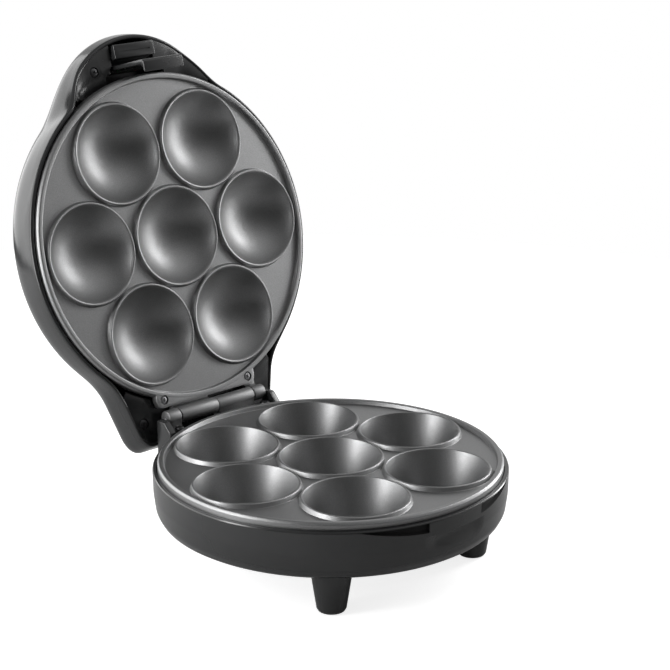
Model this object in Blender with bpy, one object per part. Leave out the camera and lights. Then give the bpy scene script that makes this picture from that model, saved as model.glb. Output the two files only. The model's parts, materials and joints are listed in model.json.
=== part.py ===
"""Cupcake maker with a hinged lid, shown with the lid open.

Lengths below are in millimetres and become metres when a mesh is made.
The plate frame has its origin at the middle of the lower plate, level with the crests of its cup rims: X runs along
the hinge, Y points to the hinge and Z is up. Lid pieces are drawn in that frame as they lie over the base when the lid
is shut, LID_LIFT lower than they really sit, and hang from an empty on the hinge line that swings them open. The world
frame stands on the feet, under the middle of the open object's box.
"""
import math

import bmesh
import bpy
from mathutils import Matrix, Vector

for old in list(bpy.data.objects):
    bpy.data.objects.remove(old, do_unlink=True)

# ---------------------------------------------------------------- driving dimensions, mm
FLOOR = 65.0            # height of the plate frame above the floor
Y_SHIFT = -52.3         # the plate frame's place in the world frame, so that the open box is centred
HINGE_Y = 118.3         # hinge line, in the plate frame
HINGE_Z = 1.2
LID_LIFT = 1.9          # the shut lid's pieces stand this much higher than they are drawn
OPEN_DEG = 105.4        # lid angle in the open, resting pose

PITCH = 70.0            # centre to centre of neighbouring cups
CREST_R = 32.9          # radius of a cup rim's crest
RIM_FOOT_R = 34.8       # outer foot of a cup rim
RIM_H = 3.0             # a rim's height over the flat of the plate
CUP_DEPTH = 27.0        # crest to the inside of the bottom
DISH_DEPTH = 17.0       # crest to the deepest point of an upper dish
PLATE_R = 110.0         # outside of both plates
PLATE_T = 3.4           # casting thickness of the lower plate
UPPER_T = 2.4           # and of the upper one
UPPER_CREST_Z = 1.5     # level of the upper plate's crests, lid shut

SHELL_R = 113.2         # outside of the base shell
SHELL_TOP = -5.0        # top edge of the base shell
SHELL_T = 2.5
BODY_BOTTOM = -37.3     # underside of the base shell

FOOT_X, FOOT_Y = 61.0, -67.3          # front feet
REAR_FOOT_X, REAR_FOOT_Y = 52.0, 76.0
FOOT_TOP_R, FOOT_BOTTOM_R = 13.0, 8.8
PAD_OUT = 0.8           # a pad's stand-out below its foot

LID_T = 2.2             # lid shell wall
HANDLE_C = 74.9         # centre of the handle lobe, ahead of the disc's centre
TONGUE_TAPER = 0.297    # side slope of the rear tongue

PIN_R = 1.9             # hinge pin
KNUCKLE_R = 5.2
KNUCKLE_OFF = (-0.9, 1.7)             # the knuckles' round outsides sit above the pin, seen with the lid open
KNUCKLES = (-40.6, -30.6, 1.2, 32.4, 42.4)    # ends along X: lower, upper, lower, upper plate in turn
LATCH_HALF = 16.5       # half width of the latch lever
LATCH_Y, LATCH_Z = -117.0, 24.0
LATCH_PIN_R = 1.5

GAP = 0.3               # clearance between touching pieces
CUP_SEGS = 16
DISC_SEGS = 48
COVER_SEGS = 32
MM = 0.001

# ---------------------------------------------------------------- materials
COLOURS = {
    "shell_black": ((0.018, 0.019, 0.020), 0.18, 0.0),
    "inner_black": ((0.012, 0.012, 0.013), 0.35, 0.0),
    "nonstick": ((0.105, 0.105, 0.108), 0.42, 0.35),
    "steel": ((0.55, 0.55, 0.56), 0.30, 1.0),
    "zinc_screw": ((0.42, 0.42, 0.43), 0.38, 1.0),
    "black_screw": ((0.035, 0.035, 0.037), 0.42, 1.0),
    "element_steel": ((0.30, 0.29, 0.27), 0.45, 1.0),
    "shield_aluminium": ((0.70, 0.71, 0.72), 0.35, 1.0),
    "rubber": ((0.03, 0.03, 0.03), 0.85, 0.0),
    "ceramic_white": ((0.75, 0.74, 0.70), 0.60, 0.0),
    "lead_sleeve": ((0.80, 0.78, 0.72), 0.70, 0.0),
    "lens_red": ((0.55, 0.03, 0.02), 0.15, 0.0),
    "lens_green": ((0.03, 0.35, 0.07), 0.15, 0.0),
}


def material(name):
    mat = bpy.data.materials.get(name)
    if mat is None:
        colour, rough, metal = COLOURS[name]
        mat = bpy.data.materials.new(name)
        mat.use_nodes = True
        shader = mat.node_tree.nodes["Principled BSDF"]
        shader.inputs["Base Color"].default_value = (*colour, 1.0)
        shader.inputs["Roughness"].default_value = rough
        shader.inputs["Metallic"].default_value = metal
        mat.diffuse_color = (*colour, 1.0)
    return mat


# ---------------------------------------------------------------- frames
base_frame = bpy.data.objects.new("base_frame", None)
base_frame.location = (0.0, Y_SHIFT * MM, FLOOR * MM)
bpy.context.scene.collection.objects.link(base_frame)

lid_frame = bpy.data.objects.new("lid_frame", None)
lid_frame.parent = base_frame
lid_frame.location = (0.0, HINGE_Y * MM, HINGE_Z * MM)
lid_frame.rotation_euler = (-math.radians(OPEN_DEG), 0.0, 0.0)
bpy.context.scene.collection.objects.link(lid_frame)

latch_frame = bpy.data.objects.new("latch_frame", None)
latch_frame.parent = lid_frame
latch_frame.location = (0.0, (LATCH_Y - HINGE_Y) * MM, (LATCH_Z + LID_LIFT - HINGE_Z) * MM)
bpy.context.scene.collection.objects.link(latch_frame)

BASE, LID, LATCH = "base", "lid", "latch"
FRAMES = {
    BASE: (base_frame, Vector((0, 0, 0))),
    LID: (lid_frame, Vector((0, HINGE_Y, HINGE_Z - LID_LIFT))),
    LATCH: (latch_frame, Vector((0, LATCH_Y, LATCH_Z))),
}


def finish_mesh(ob, where, mat, smooth_deg):
    """Parents an object whose mesh is in plate-frame millimetres to its frame, in metres."""
    frame, origin = FRAMES[where]
    ob.data.transform(Matrix.Scale(MM, 4) @ Matrix.Translation(-origin))
    ob.parent = frame
    bpy.context.scene.collection.objects.link(ob)
    if mat:
        ob.data.materials.append(material(mat))
    if smooth_deg:
        ob.data.shade_smooth()
        ob.data.set_sharp_from_angle(angle=math.radians(smooth_deg))
    return ob


def make(name, bm, where, mat=None, smooth_deg=35):
    bmesh.ops.remove_doubles(bm, verts=bm.verts, dist=1e-5)
    bmesh.ops.recalc_face_normals(bm, faces=bm.faces)
    if bm.calc_volume(signed=True) < 0:
        bmesh.ops.reverse_faces(bm, faces=bm.faces)
    mesh = bpy.data.meshes.new(name)
    bm.to_mesh(mesh)
    bm.free()
    return finish_mesh(bpy.data.objects.new(name, mesh), where, mat, smooth_deg)


def cut(target, bm, name, operation="DIFFERENCE"):
    """Adds a Boolean with a helper solid that the model itself doesn't show."""
    where = next(k for k, (frame, _) in FRAMES.items() if frame == target.parent)
    tool = make(name, bm, where, None, 0)
    tool.hide_render = True
    tool.display_type = "WIRE"
    mod = target.modifiers.new(name, "BOOLEAN")
    mod.operation = operation
    mod.solver = "EXACT"
    mod.object = tool
    return tool


# ---------------------------------------------------------------- shape makers, all in mm
def lathe(bm, profile, segs, centre=(0.0, 0.0), closed=False, turn=0.0, matrix=None):
    """Turns (radius, z) points about a vertical axis. An open profile starts and ends on the axis."""
    rings = []
    for r, z in profile:
        if r < 1e-9:
            rings.append([bm.verts.new((centre[0], centre[1], z))])
            continue
        ring = []
        for i in range(segs):
            a = 2 * math.pi * i / segs + turn
            ring.append(bm.verts.new((centre[0] + r * math.cos(a), centre[1] + r * math.sin(a), z)))
        rings.append(ring)
    pairs = list(zip(rings, rings[1:] + (rings[:1] if closed else [])))
    if not closed:
        pairs = pairs[:len(rings) - 1]
    for low, high in pairs:
        for i in range(segs):
            j = (i + 1) % segs
            if len(low) == 1 and len(high) == 1:
                continue
            if len(low) == 1:
                bm.faces.new((low[0], high[j], high[i]))
            elif len(high) == 1:
                bm.faces.new((low[i], low[j], high[0]))
            else:
                bm.faces.new((low[i], low[j], high[j], high[i]))
    if matrix is not None:
        verts = [v for ring in rings for v in ring]
        bmesh.ops.transform(bm, matrix=matrix, verts=verts)
    return bm


def revolve_from(bm, ring, profile, centre=(0.0, 0.0)):
    """Continues from a ring of vertices through (radius, z) points; radius 0 closes it on the axis."""
    start = len(ring)
    turns = [math.atan2(v.co.y - centre[1], v.co.x - centre[0]) for v in ring]
    for r, z in profile:
        if r < 1e-9:
            tip = bm.verts.new((centre[0], centre[1], z))
            for i in range(start):
                bm.faces.new((ring[i], ring[(i + 1) % start], tip))
            return None
        new = [bm.verts.new((centre[0] + r * math.cos(a), centre[1] + r * math.sin(a), z)) for a in turns]
        for i in range(start):
            j = (i + 1) % start
            bm.faces.new((ring[i], ring[j], new[j], new[i]))
        ring = new
    return ring


def circle(bm, r, z, segs, centre=(0.0, 0.0)):
    """A closed ring of vertices with its edges."""
    ring = [bm.verts.new((centre[0] + r * math.cos(2 * math.pi * i / segs), centre[1] + r * math.sin(2 * math.pi * i / segs), z))
            for i in range(segs)]
    edges = [bm.edges.new((ring[i], ring[(i + 1) % segs])) for i in range(segs)]
    return ring, edges


def cup_plate(edge, face_z, back_z, inside, outside):
    """A round plate with seven cups. edge runs from the face round the rim to the back, inside and outside are one
    cup's two skins; each starts with the ring where it leaves the flat."""
    bm = bmesh.new()
    rims = []
    for z, start, skin in ((face_z, edge[0][0], inside), (back_z, edge[-1][0], outside)):
        ring, edges = circle(bm, start, z, DISC_SEGS)
        rims.append(ring)
        for c in CUPS:
            mouth, mouth_edges = circle(bm, skin[0][0], z, CUP_SEGS, c)
            edges += mouth_edges
            revolve_from(bm, mouth, skin[1:], c)
        bmesh.ops.triangle_fill(bm, use_beauty=True, edges=edges)
    last = revolve_from(bm, rims[0], edge[1:-1])
    for i in range(DISC_SEGS):
        j = (i + 1) % DISC_SEGS
        bm.faces.new((last[i], last[j], rims[1][j], rims[1][i]))
    return bm


def prism(bm, outline, low, high, axis="Z"):
    """Extrudes a closed outline. axis Z: outline is (x, y). axis X: outline is (y, z)."""
    def place(p, h):
        return (p[0], p[1], h) if axis == "Z" else (h, p[0], p[1])
    bottom = [bm.verts.new(place(p, low)) for p in outline]
    top = [bm.verts.new(place(p, high)) for p in outline]
    bm.faces.new(bottom)
    bm.faces.new(top)
    n = len(outline)
    for i in range(n):
        j = (i + 1) % n
        bm.faces.new((bottom[i], bottom[j], top[j], top[i]))
    return bm


def box(bm, x0, x1, y0, y1, z0, z1):
    return prism(bm, [(x0, y0), (x1, y0), (x1, y1), (x0, y1)], z0, z1)


def rod(bm, radius, x0, x1, y, z, segs=16):
    """A round bar along X."""
    outline = [(y + radius * math.cos(2 * math.pi * i / segs), z + radius * math.sin(2 * math.pi * i / segs))
               for i in range(segs)]
    return prism(bm, outline, x0, x1, "X")


def screw(bm, x, y, z_seat, z_tip, shank, head, head_h, segs=12):
    """A screw with its head below z_seat if the tip is above, and the other way round."""
    s = 1.0 if z_tip > z_seat else -1.0
    lathe(bm, [(0, z_seat - s * head_h), (head * 0.85, z_seat - s * head_h), (head, z_seat), (shank, z_seat), (shank, z_tip - s * 1.5),
               (0, z_tip)], segs, (x, y))


def fastener(name, where, *sizes, mat="zinc_screw"):
    bm = bmesh.new()
    screw(bm, *sizes)
    return make(name, bm, where, mat)


def arc(cy, cz, r, a0, a1, n):
    return [(cy + r * math.cos(math.radians(a0 + (a1 - a0) * i / n)),
             cz + r * math.sin(math.radians(a0 + (a1 - a0) * i / n))) for i in range(n + 1)]


CUPS = [(0.0, 0.0)] + [(PITCH * math.cos(math.radians(60 * k)), PITCH * math.sin(math.radians(60 * k))) for k in range(6)]
FEET = {"foot_front_left": (-FOOT_X, FOOT_Y), "foot_front_right": (FOOT_X, FOOT_Y),
        "foot_rear_left": (-REAR_FOOT_X, REAR_FOOT_Y), "foot_rear_right": (REAR_FOOT_X, REAR_FOOT_Y)}
SIDES = (("left", -1), ("right", 1))
POSTS = [(90.0 * math.cos(math.radians(a)), 90.0 * math.sin(math.radians(a))) for a in (30, 150, 210, 330)]


# ---------------------------------------------------------------- lid outline
def smooth_max(a, b, k):
    h = max(k - abs(a - b), 0.0) / k
    return max(a, b) + h * h * k / 4


def smooth_min(a, b, k):
    return -smooth_max(-a, -b, k)


def lid_radius(phi, disc, lobe, lobe_k, width, length):
    """Outline of the lid, phi measured from the front: a disc, a round handle lobe and a tapered rear tongue."""
    c, s = math.cos(phi), math.sin(phi)
    r = disc
    d = lobe * lobe - (HANDLE_C * s) ** 2
    if c > 0 and d > 0:
        r = smooth_max(r, HANDLE_C * c + math.sqrt(d), lobe_k)
    if c < -0.05:
        side = width / (abs(s) + TONGUE_TAPER * -c)
        r = smooth_max(r, smooth_min(side, length / -c, 14.0), 10.0)
    return r


def step(a, b, x):
    t = min(max((x - a) / (b - a), 0.0), 1.0)
    return t * t * (3 - 2 * t)


def lid_edge_z(phi):
    """Height of the lid shell's lower edge: 5 round the disc, 14.5 under the handle, 8 under the tongue."""
    front = math.degrees(abs(math.atan2(math.sin(phi), math.cos(phi))))
    return 5.0 + 9.5 * (1 - step(18.0, 36.0, front)) + 3.0 * step(137.0, 150.0, front)


LID_SEGS = 72            # samples round the lid, shared by its panels
# level: share of the way up, disc, lobe, blend, tongue width, tongue length
LID_LEVELS = [
    (0.00, 113.4, 62.7, 5.0, 94.7, 134.5),
    (0.28, 113.9, 63.7, 12.0, 96.2, 136.6),
    (0.68, 113.2, 64.2, 18.0, 96.8, 139.0),
    (0.90, 110.2, 61.0, 20.0, 93.6, 138.0),
    (1.00, 105.0, 55.4, 20.0, 88.0, 133.0),
]


def even_angles(level, count):
    """Angles that put equal lengths of the lid's outline between samples, the same on both sides of the middle."""
    fine = 1440
    pts = [(math.pi * i / fine, lid_radius(math.pi * i / fine, *level[1:])) for i in range(fine + 1)]
    run = [0.0]
    for (a, r), (b, q) in zip(pts, pts[1:]):
        run.append(run[-1] + math.dist((r * math.sin(a), r * math.cos(a)), (q * math.sin(b), q * math.cos(b))))
    half, k = [], 0
    for i in range(count // 2 + 1):
        want = run[-1] * i / (count // 2)
        while k < fine - 1 and run[k + 1] < want:
            k += 1
        t = (want - run[k]) / (run[k + 1] - run[k])
        half.append(pts[k][0] + t * math.pi / fine)
    return half[:-1] + [math.pi] + [2 * math.pi - a for a in half[-2:0:-1]]


LID_ANGLES = even_angles(LID_LEVELS[0], LID_SEGS)
LID_SHOULDER_Z = 34.0
LID_TOP_Z = 37.5


def lid_rings(inset, edge_inset, drop):
    """Rings of (x, y, z) from the lower edge to the middle of the top, and the top's middle height."""
    rings = []
    for share, disc, lobe, k, width, length in LID_LEVELS:
        ring = []
        for phi in LID_ANGLES:
            z0 = lid_edge_z(phi)
            z = z0 + (LID_SHOULDER_Z - drop - z0) * share
            r = lid_radius(phi, disc, lobe, k, width, length) - (edge_inset if share == 0.0 else inset)
            ring.append((r * math.sin(phi), -r * math.cos(phi), z))
        rings.append(ring)
    last = rings[-1]
    for scale, rise in ((0.80, 0.66),):
        z = LID_SHOULDER_Z - drop + (LID_TOP_Z - LID_SHOULDER_Z) * rise
        rings.append([(x * scale, y * scale, z) for x, y, _ in last])
    return rings, LID_TOP_Z - drop


# ================================================================ BASE
# ---- lower plate
bm = cup_plate([(105.2, -RIM_H), (106.2, -0.4), (108.9, -0.2), (PLATE_R, -1.8), (PLATE_R, -9.0), (107.8, -9.0),
                (107.0, -RIM_H - PLATE_T)], -RIM_H, -RIM_H - PLATE_T,
               [(RIM_FOOT_R, -RIM_H), (33.4, 0.0), (32.4, 0.0), (25.8, -CUP_DEPTH + 2.6), (22.8, -CUP_DEPTH), (0, -CUP_DEPTH)],
               [(RIM_FOOT_R - 0.2, -RIM_H - PLATE_T), (28.5, -CUP_DEPTH + 0.3), (24.8, -CUP_DEPTH - 2.8), (0, -CUP_DEPTH - 2.8)])
lower_plate = make("lower_plate", bm, BASE, "nonstick")
KNUCKLE_Y, KNUCKLE_Z = HINGE_Y + KNUCKLE_OFF[0], HINGE_Z + KNUCKLE_OFF[1]
LOWER_EAR = ([(102.0, -6.9), (116.0, -6.9), (119.6, -4.2)] + arc(KNUCKLE_Y, KNUCKLE_Z, KNUCKLE_R, -50, 205, 11)
             + [(112.4, -3.4), (102.0, -3.4)])
bm = bmesh.new()
prism(bm, LOWER_EAR, KNUCKLES[0], KNUCKLES[1] - 0.4, "X")
prism(bm, LOWER_EAR, KNUCKLES[2] + 0.2, KNUCKLES[3] - 0.2, "X")
cut(lower_plate, bm, "lower_knuckles", "UNION")
bm = bmesh.new()
prism(bm, [(30.0, 103.0), (36.0, 101.4), (42.2, 98.7), (42.2, 112.0), (30.0, 112.0)], -6.7, -2.6)
cut(lower_plate, bm, "lower_ear_pad", "UNION")
bm = bmesh.new()
rod(bm, PIN_R + GAP, -50, 50, HINGE_Y, HINGE_Z, 12)
cut(lower_plate, bm, "lower_pin_bore")
bm = bmesh.new()
for s in (-1, 1):
    lathe(bm, [(0, -10), (1.9, -10), (1.9, 2), (0, 2)], 12, (s * 37.0, 107.6))
cut(lower_plate, bm, "ear_screw_holes")
# screw bosses under the plate
bm = bmesh.new()
for p in POSTS:
    lathe(bm, [(0, -5.0), (4.6, -5.0), (4.4, -14.0), (1.7, -14.0), (1.7, -7.2), (0, -7.2)], 8, p)
cut(lower_plate, bm, "plate_bosses", "UNION")

# ---- base housing
bm = bmesh.new()
lathe(bm, [(0, SHELL_TOP), (SHELL_R - 0.5, SHELL_TOP), (SHELL_R, SHELL_TOP - 0.8), (112.9, -20.0), (111.6, -30.5), (109.2, -35.0),
           (105.4, BODY_BOTTOM), (0, BODY_BOTTOM)], DISC_SEGS)
base_housing = make("base_housing", bm, BASE, "shell_black")
CHEEK_X, CHEEK_REAR, BLOCK_FLOOR = 48.0, 118.0, -7.8
bm = bmesh.new()
prism(bm, [(96.0, -36.8), (115.5, -36.8), (CHEEK_REAR, -34.0), (CHEEK_REAR, 2.6), (117.0, 3.8), (110.0, 3.8), (103.6, -2.4),
           (103.6, -6.5), (96.0, -6.5)], -CHEEK_X, CHEEK_X, "X")
cut(base_housing, bm, "hinge_box", "UNION")
bm = bmesh.new()
lathe(bm, [(0, 0), (110.7, 0), (110.4, -20.0), (109.1, -30.0), (105.0, -34.8), (0, -34.8)], DISC_SEGS)
cut(base_housing, bm, "shell_cavity")
bm = bmesh.new()
box(bm, -45.5, 45.5, 90.0, 115.5, -34.5, -10.2)
cut(base_housing, bm, "box_cavity")
bm = bmesh.new()
box(bm, -43.6, 43.6, 100.0, 125.0, BLOCK_FLOOR, 10.0)
cut(base_housing, bm, "hinge_clearance")
bm = bmesh.new()
# thick pad behind the latch pocket, with the pocket itself a ramp under the catch lip
prism(bm, [(x, -math.sqrt(111.2 ** 2 - x * x)) for x in (-22.0, -15.0, -7.5, 0.0, 7.5, 15.0, 22.0)] + [(22.0, -106.6), (-22.0, -106.6)],
      -27.6, -9.6, "Z")
for p in POSTS:
    lathe(bm, [(0, -35.5), (5.7, -35.5), (5.5, -14.4), (0, -14.4)], 10, p)
for x, y in FEET.values():
    lathe(bm, [(0, -35.5), (5.0, -35.5), (5.0, -31.6), (0, -31.6)], 8, (x, y))
for k in range(3):
    a = math.radians(90 + 120 * k)
    lathe(bm, [(0, -35.2), (3.6, -35.2), (3.6, -30.8), (0, -30.8)], 8, (70.6 * math.cos(a), 70.6 * math.sin(a)))
cut(base_housing, bm, "inner_bosses", "UNION")
bm = bmesh.new()
prism(bm, [(-116.0, -14.4), (-109.4, -14.4), (-109.2, -18.6), (-113.4, -25.6), (-116.0, -25.6)], -18.0, 18.0, "X")
cut(base_housing, bm, "latch_pocket")
# finger scoops either side of the catch, each a crescent that fades out round the rim
bm = bmesh.new()
for s in (-1, 1):
    inner, outer = [], []
    for i in range(7):
        a = math.radians(11.3 + (34.0 - 11.3) * i / 6)
        depth = 6.0 * (1 - (i / 6) ** 1.6)
        lowz = -6.0 - max(depth, 0.15)
        for r, bag in ((111.5, inner), (116.0, outer)):
            x, y = s * r * math.sin(a), -r * math.cos(a)
            bag.append((bm.verts.new((x, y, lowz)), bm.verts.new((x, y, -5.9))))
    for i in range(6):
        (il, it), (jl, jt), (ol, ot), (pl, pt) = inner[i], inner[i + 1], outer[i], outer[i + 1]
        bm.faces.new((il, jl, jt, it))
        bm.faces.new((ol, ot, pt, pl))
        bm.faces.new((il, ol, pl, jl))
        bm.faces.new((it, jt, pt, ot))
    for (il, it), (ol, ot) in ((inner[0], outer[0]), (inner[-1], outer[-1])):
        bm.faces.new((il, it, ot, ol))
cut(base_housing, bm, "finger_scoops")
bm = bmesh.new()
for p in POSTS:
    lathe(bm, [(0, -45), (3.8, -45), (3.8, -24.0), (1.9, -24.0), (1.9, -10), (0, -10)], 8, p)
for x, y in FEET.values():
    lathe(bm, [(0, -45), (1.8, -45), (1.8, -25), (0, -25)], 6, (x, y))
for s in (-1, 1):
    lathe(bm, [(0, -13), (1.7, -13), (1.7, -5), (0, -5)], 8, (s * 37.0, 107.6))
# bottom opening with a rabbet for the cover
lathe(bm, [(0, -30), (66.0, -30), (66.0, -35.7), (75.4, -35.7), (75.4, -45), (0, -45)], COVER_SEGS)
cut(base_housing, bm, "base_holes")
bm = bmesh.new()
for k in range(3):
    a = math.radians(90 + 120 * k)
    lathe(bm, [(0, -45), (1.8, -45), (1.8, -30), (0, -30)], 6, (70.6 * math.cos(a), 70.6 * math.sin(a)))
cut(base_housing, bm, "cover_screw_holes")
bm = bmesh.new()
lathe(bm, [(0, -10), (4.5, -10), (4.5, 10), (0, 10)], 16, matrix=Matrix.Translation((0, 117.0, -28.0)) @ Matrix.Rotation(math.radians(90), 4, "X"))
cut(base_housing, bm, "gland_hole")

# ---- bottom cover with vent slots
bm = bmesh.new()
lathe(bm, [(0, -37.2), (75.0, -37.2), (75.0, -36.0), (65.6, -36.0), (65.6, -34.2), (0, -34.2)], COVER_SEGS)
bottom_cover = make("bottom_cover", bm, BASE, "inner_black")
bm = bmesh.new()
lathe(bm, [(0, -33), (63.5, -33), (63.5, -35.9), (0, -35.9)], COVER_SEGS)
cut(bottom_cover, bm, "cover_hollow")
bm = bmesh.new()
for row in range(4):
    for s in (-1, 1):
        y = -24 + 16 * row
        prism(bm, [(s * 8, y - 1.5), (s * 40, y - 1.5), (s * 40, y + 1.5), (s * 8, y + 1.5)], -40, -30)
for k in range(3):
    a = math.radians(90 + 120 * k)
    lathe(bm, [(0, -40), (1.9, -40), (1.9, -30), (0, -30)], 6, (70.6 * math.cos(a), 70.6 * math.sin(a)))
cut(bottom_cover, bm, "cover_slots")
for k in range(3):
    a = math.radians(90 + 120 * k)
    fastener("bottom_cover_screw_%d" % (k + 1), BASE, 70.6 * math.cos(a), 70.6 * math.sin(a), -37.5, -31.8, 1.2, 2.9, 1.4, 6)

# ---- feet, pads and their screws
for name, (x, y) in FEET.items():
    bm = bmesh.new()
    lathe(bm, [(2.0, -37.6), (FOOT_TOP_R, -37.6), (FOOT_BOTTOM_R + 0.4, -62.6), (FOOT_BOTTOM_R - 0.6, -64.2), (7.2, -64.2),
               (7.2, -62.4), (3.7, -62.4), (3.7, -45.0), (2.0, -45.0)], 16, (x, y), closed=True)
    make(name, bm, BASE, "shell_black")
for name, (x, y) in FEET.items():
    bm = bmesh.new()
    lathe(bm, [(0, -FLOOR), (6.7, -FLOOR), (6.7, -62.7), (0, -62.7)], 12, (x, y))
    make(name.replace("foot", "foot_pad"), bm, BASE, "rubber")
    fastener(name.replace("foot", "foot_screw"), BASE, x, y, -45.3, -32.0, 1.3, 3.1, 2.2, 6)

# ---- screws that hold the lower plate
for k, p in enumerate(POSTS):
    fastener("lower_plate_screw_%d" % (k + 1), BASE, p[0], p[1], -24.3, -8.0, 1.3, 3.2, 2.0, 6)
for side, s in SIDES:
    fastener("lower_hinge_screw_" + side, BASE, s * 37.0, 107.6, -2.3, -10.5, 1.3, 3.2, 1.7, 10, mat="black_screw")

# ---- hinge pin
bm = bmesh.new()
lathe(bm, [(0, -42.4), (PIN_R - 0.5, -42.4), (PIN_R, -41.9), (PIN_R, 42.7), (PIN_R - 0.5, 43.2), (0, 43.2)], 12,
      matrix=Matrix.Translation((0, HINGE_Y, HINGE_Z)) @ Matrix.Rotation(math.radians(90), 4, "Y"))
make("hinge_pin", bm, BASE, "steel")


# ---- heating elements: a tube bent into an open ring, with both ends turned away from the plate
def tube(name, points, radius, where, mat, resolution=1):
    curve = bpy.data.curves.new(name, "CURVE")
    curve.dimensions = "3D"
    curve.bevel_depth = radius * MM
    curve.bevel_resolution = resolution
    curve.use_fill_caps = True
    spline = curve.splines.new("POLY")
    spline.points.add(len(points) - 1)
    frame, origin = FRAMES[where]
    for p, q in zip(spline.points, points):
        p.co = (*((Vector(q) - origin) * MM), 1.0)
    ob = bpy.data.objects.new(name, curve)
    ob.parent = frame
    bpy.context.scene.collection.objects.link(ob)
    curve.materials.append(material(mat))
    return ob


def element_path(ring_r, z, z_end, sweep=15.0, n=20):
    pts = []
    a0, a1 = 90 + sweep, 450 - sweep
    ends = []
    for a, order in ((a0, 1), (a1, -1)):
        x, y = ring_r * math.cos(math.radians(a)), ring_r * math.sin(math.radians(a))
        rise = [(x, y, z_end), (x, y, z + (z_end - z) * 0.5), (x, y, z + (z_end - z) * 0.18)]
        ends.append(rise if order == 1 else rise[::-1])
    ring = [(ring_r * math.cos(math.radians(a0 + (a1 - a0) * i / n)), ring_r * math.sin(math.radians(a0 + (a1 - a0) * i / n)), z)
            for i in range(1, n)]
    return ends[0] + ring + ends[1]


tube("lower_element", element_path(35.0, -20.0, -30.0), 3.0, BASE, "element_steel")
tube("upper_element", element_path(35.0, 14.5, 22.0), 3.0, LID, "element_steel")

# ---- lower reflector tray with clearance round the cups' bottoms and the element's ends
bm = bmesh.new()
lathe(bm, [(0, -32.2), (63.0, -32.2), (63.0, -30.6), (64.0, -30.6), (64.0, -33.2), (0, -33.2)], 24)
shield = make("lower_heat_shield", bm, BASE, "shield_aluminium")
bm = bmesh.new()
for s in (-1, 1):
    x = s * 35.0 * math.sin(math.radians(15))
    lathe(bm, [(0, -40), (4.6, -40), (4.6, -28), (0, -28)], 8, (x, 35.0 * math.cos(math.radians(15))))
cut(shield, bm, "element_holes")

# ---- thermal fuse in its clip, in front between two cups
bm = bmesh.new()
rod(bm, 2.2, -11.0, 11.0, -93.0, -9.1, 8)
make("thermal_fuse", bm, BASE, "ceramic_white")
bm = bmesh.new()
prism(bm, [(-96.4, -6.75), (-96.4, -12.4), (-89.6, -12.4), (-89.6, -6.75), (-90.4, -6.75), (-90.4, -11.8), (-95.6, -11.8), (-95.6, -6.75)],
      -2.5, 2.5, "X")
make("fuse_clip", bm, BASE, "steel")

# ---- terminal block behind the plate and the two internal leads
bm = bmesh.new()
box(bm, -16.0, 16.0, 90.0, 102.0, -33.9, -22.0)
block = make("terminal_block", bm, BASE, "ceramic_white")
bm = bmesh.new()
for x in (-9.0, 0.0, 9.0):
    lathe(bm, [(0, -18), (2.2, -18), (2.2, -25.5), (0, -25.5)], 8, (x, 96.0))
cut(block, bm, "terminal_wells")


def bezier(points, n):
    """A smooth Catmull-Rom curve through the route's own points."""
    pts = [Vector(p) for p in points]
    pts = [pts[0] * 2 - pts[1]] + pts + [pts[-1] * 2 - pts[-2]]
    out = []
    spans = len(pts) - 3
    for k in range(n + 1):
        t = k / n * spans
        i = min(int(t), spans - 1)
        u = t - i
        a, b, c, d = pts[i:i + 4]
        out.append(0.5 * (2 * b + (c - a) * u + (2 * a - 5 * b + 4 * c - d) * u * u + (3 * b - a - 3 * c + d) * u ** 3))
    return out


for name, s in (("lead_live", -1), ("lead_neutral", 1)):
    ex, ey = s * 35.0 * math.sin(math.radians(15)), 35.0 * math.cos(math.radians(15))
    tube(name, bezier([(s * 9.0, 89.5, -29.2), (s * 9.0, 82.0, -29.2), (s * 5.4, 66.0, -27.2), (s * 6.6, 52.0, -27.4),
                       (ex, ey + 4.9, -28.0)], 11), 1.3, BASE, "lead_sleeve", 0)

# ---- cord gland in the hinge box's rear wall
bm = bmesh.new()
lathe(bm, [(3.2, -9.0), (4.2, -9.0), (4.2, 1.3), (6.8, 1.3), (6.8, 2.6), (5.6, 3.8), (3.2, 3.8)], 12, closed=True,
      matrix=Matrix.Translation((0, CHEEK_REAR - 1.0, -28.0)) @ Matrix.Rotation(math.radians(-90), 4, "X"))
make("cord_gland", bm, BASE, "rubber")

# ================================================================ LID, drawn shut
# ---- upper plate
UZ = UPPER_CREST_Z
SPHERE = (32.4 ** 2 + DISH_DEPTH ** 2) / (2 * DISH_DEPTH)


def dish_z(r, offset=0.0):
    """Height over the crest of a spherical dish's inside, or of its back when offset is the wall."""
    return math.sqrt((SPHERE + offset) ** 2 - r * r) - (SPHERE - DISH_DEPTH)


bm = cup_plate([(105.2, UZ + RIM_H), (106.2, UZ + 0.4), (108.9, UZ + 0.2), (PLATE_R, UZ + 1.8), (PLATE_R, UZ + 9.0), (107.8, UZ + 9.0),
                (107.0, UZ + RIM_H + UPPER_T)], UZ + RIM_H, UZ + RIM_H + UPPER_T,
               [(RIM_FOOT_R, UZ + RIM_H), (33.4, UZ), (32.2, UZ), (27.5, UZ + dish_z(27.5)), (16.5, UZ + dish_z(16.5)),
                (0, UZ + DISH_DEPTH)],
               [(32.9, UZ + RIM_H + UPPER_T), (26.0, UZ + dish_z(26.0, 2.0)), (0, UZ + dish_z(0, 2.0))])
upper_plate = make("upper_plate", bm, LID, "nonstick")
turn = math.radians(OPEN_DEG)
UPPER_KNUCKLE_Y = HINGE_Y + KNUCKLE_OFF[0] * math.cos(turn) - KNUCKLE_OFF[1] * math.sin(turn)
UPPER_KNUCKLE_Z = HINGE_Z - LID_LIFT + KNUCKLE_OFF[0] * math.sin(turn) + KNUCKLE_OFF[1] * math.cos(turn)
bm = bmesh.new()
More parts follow.
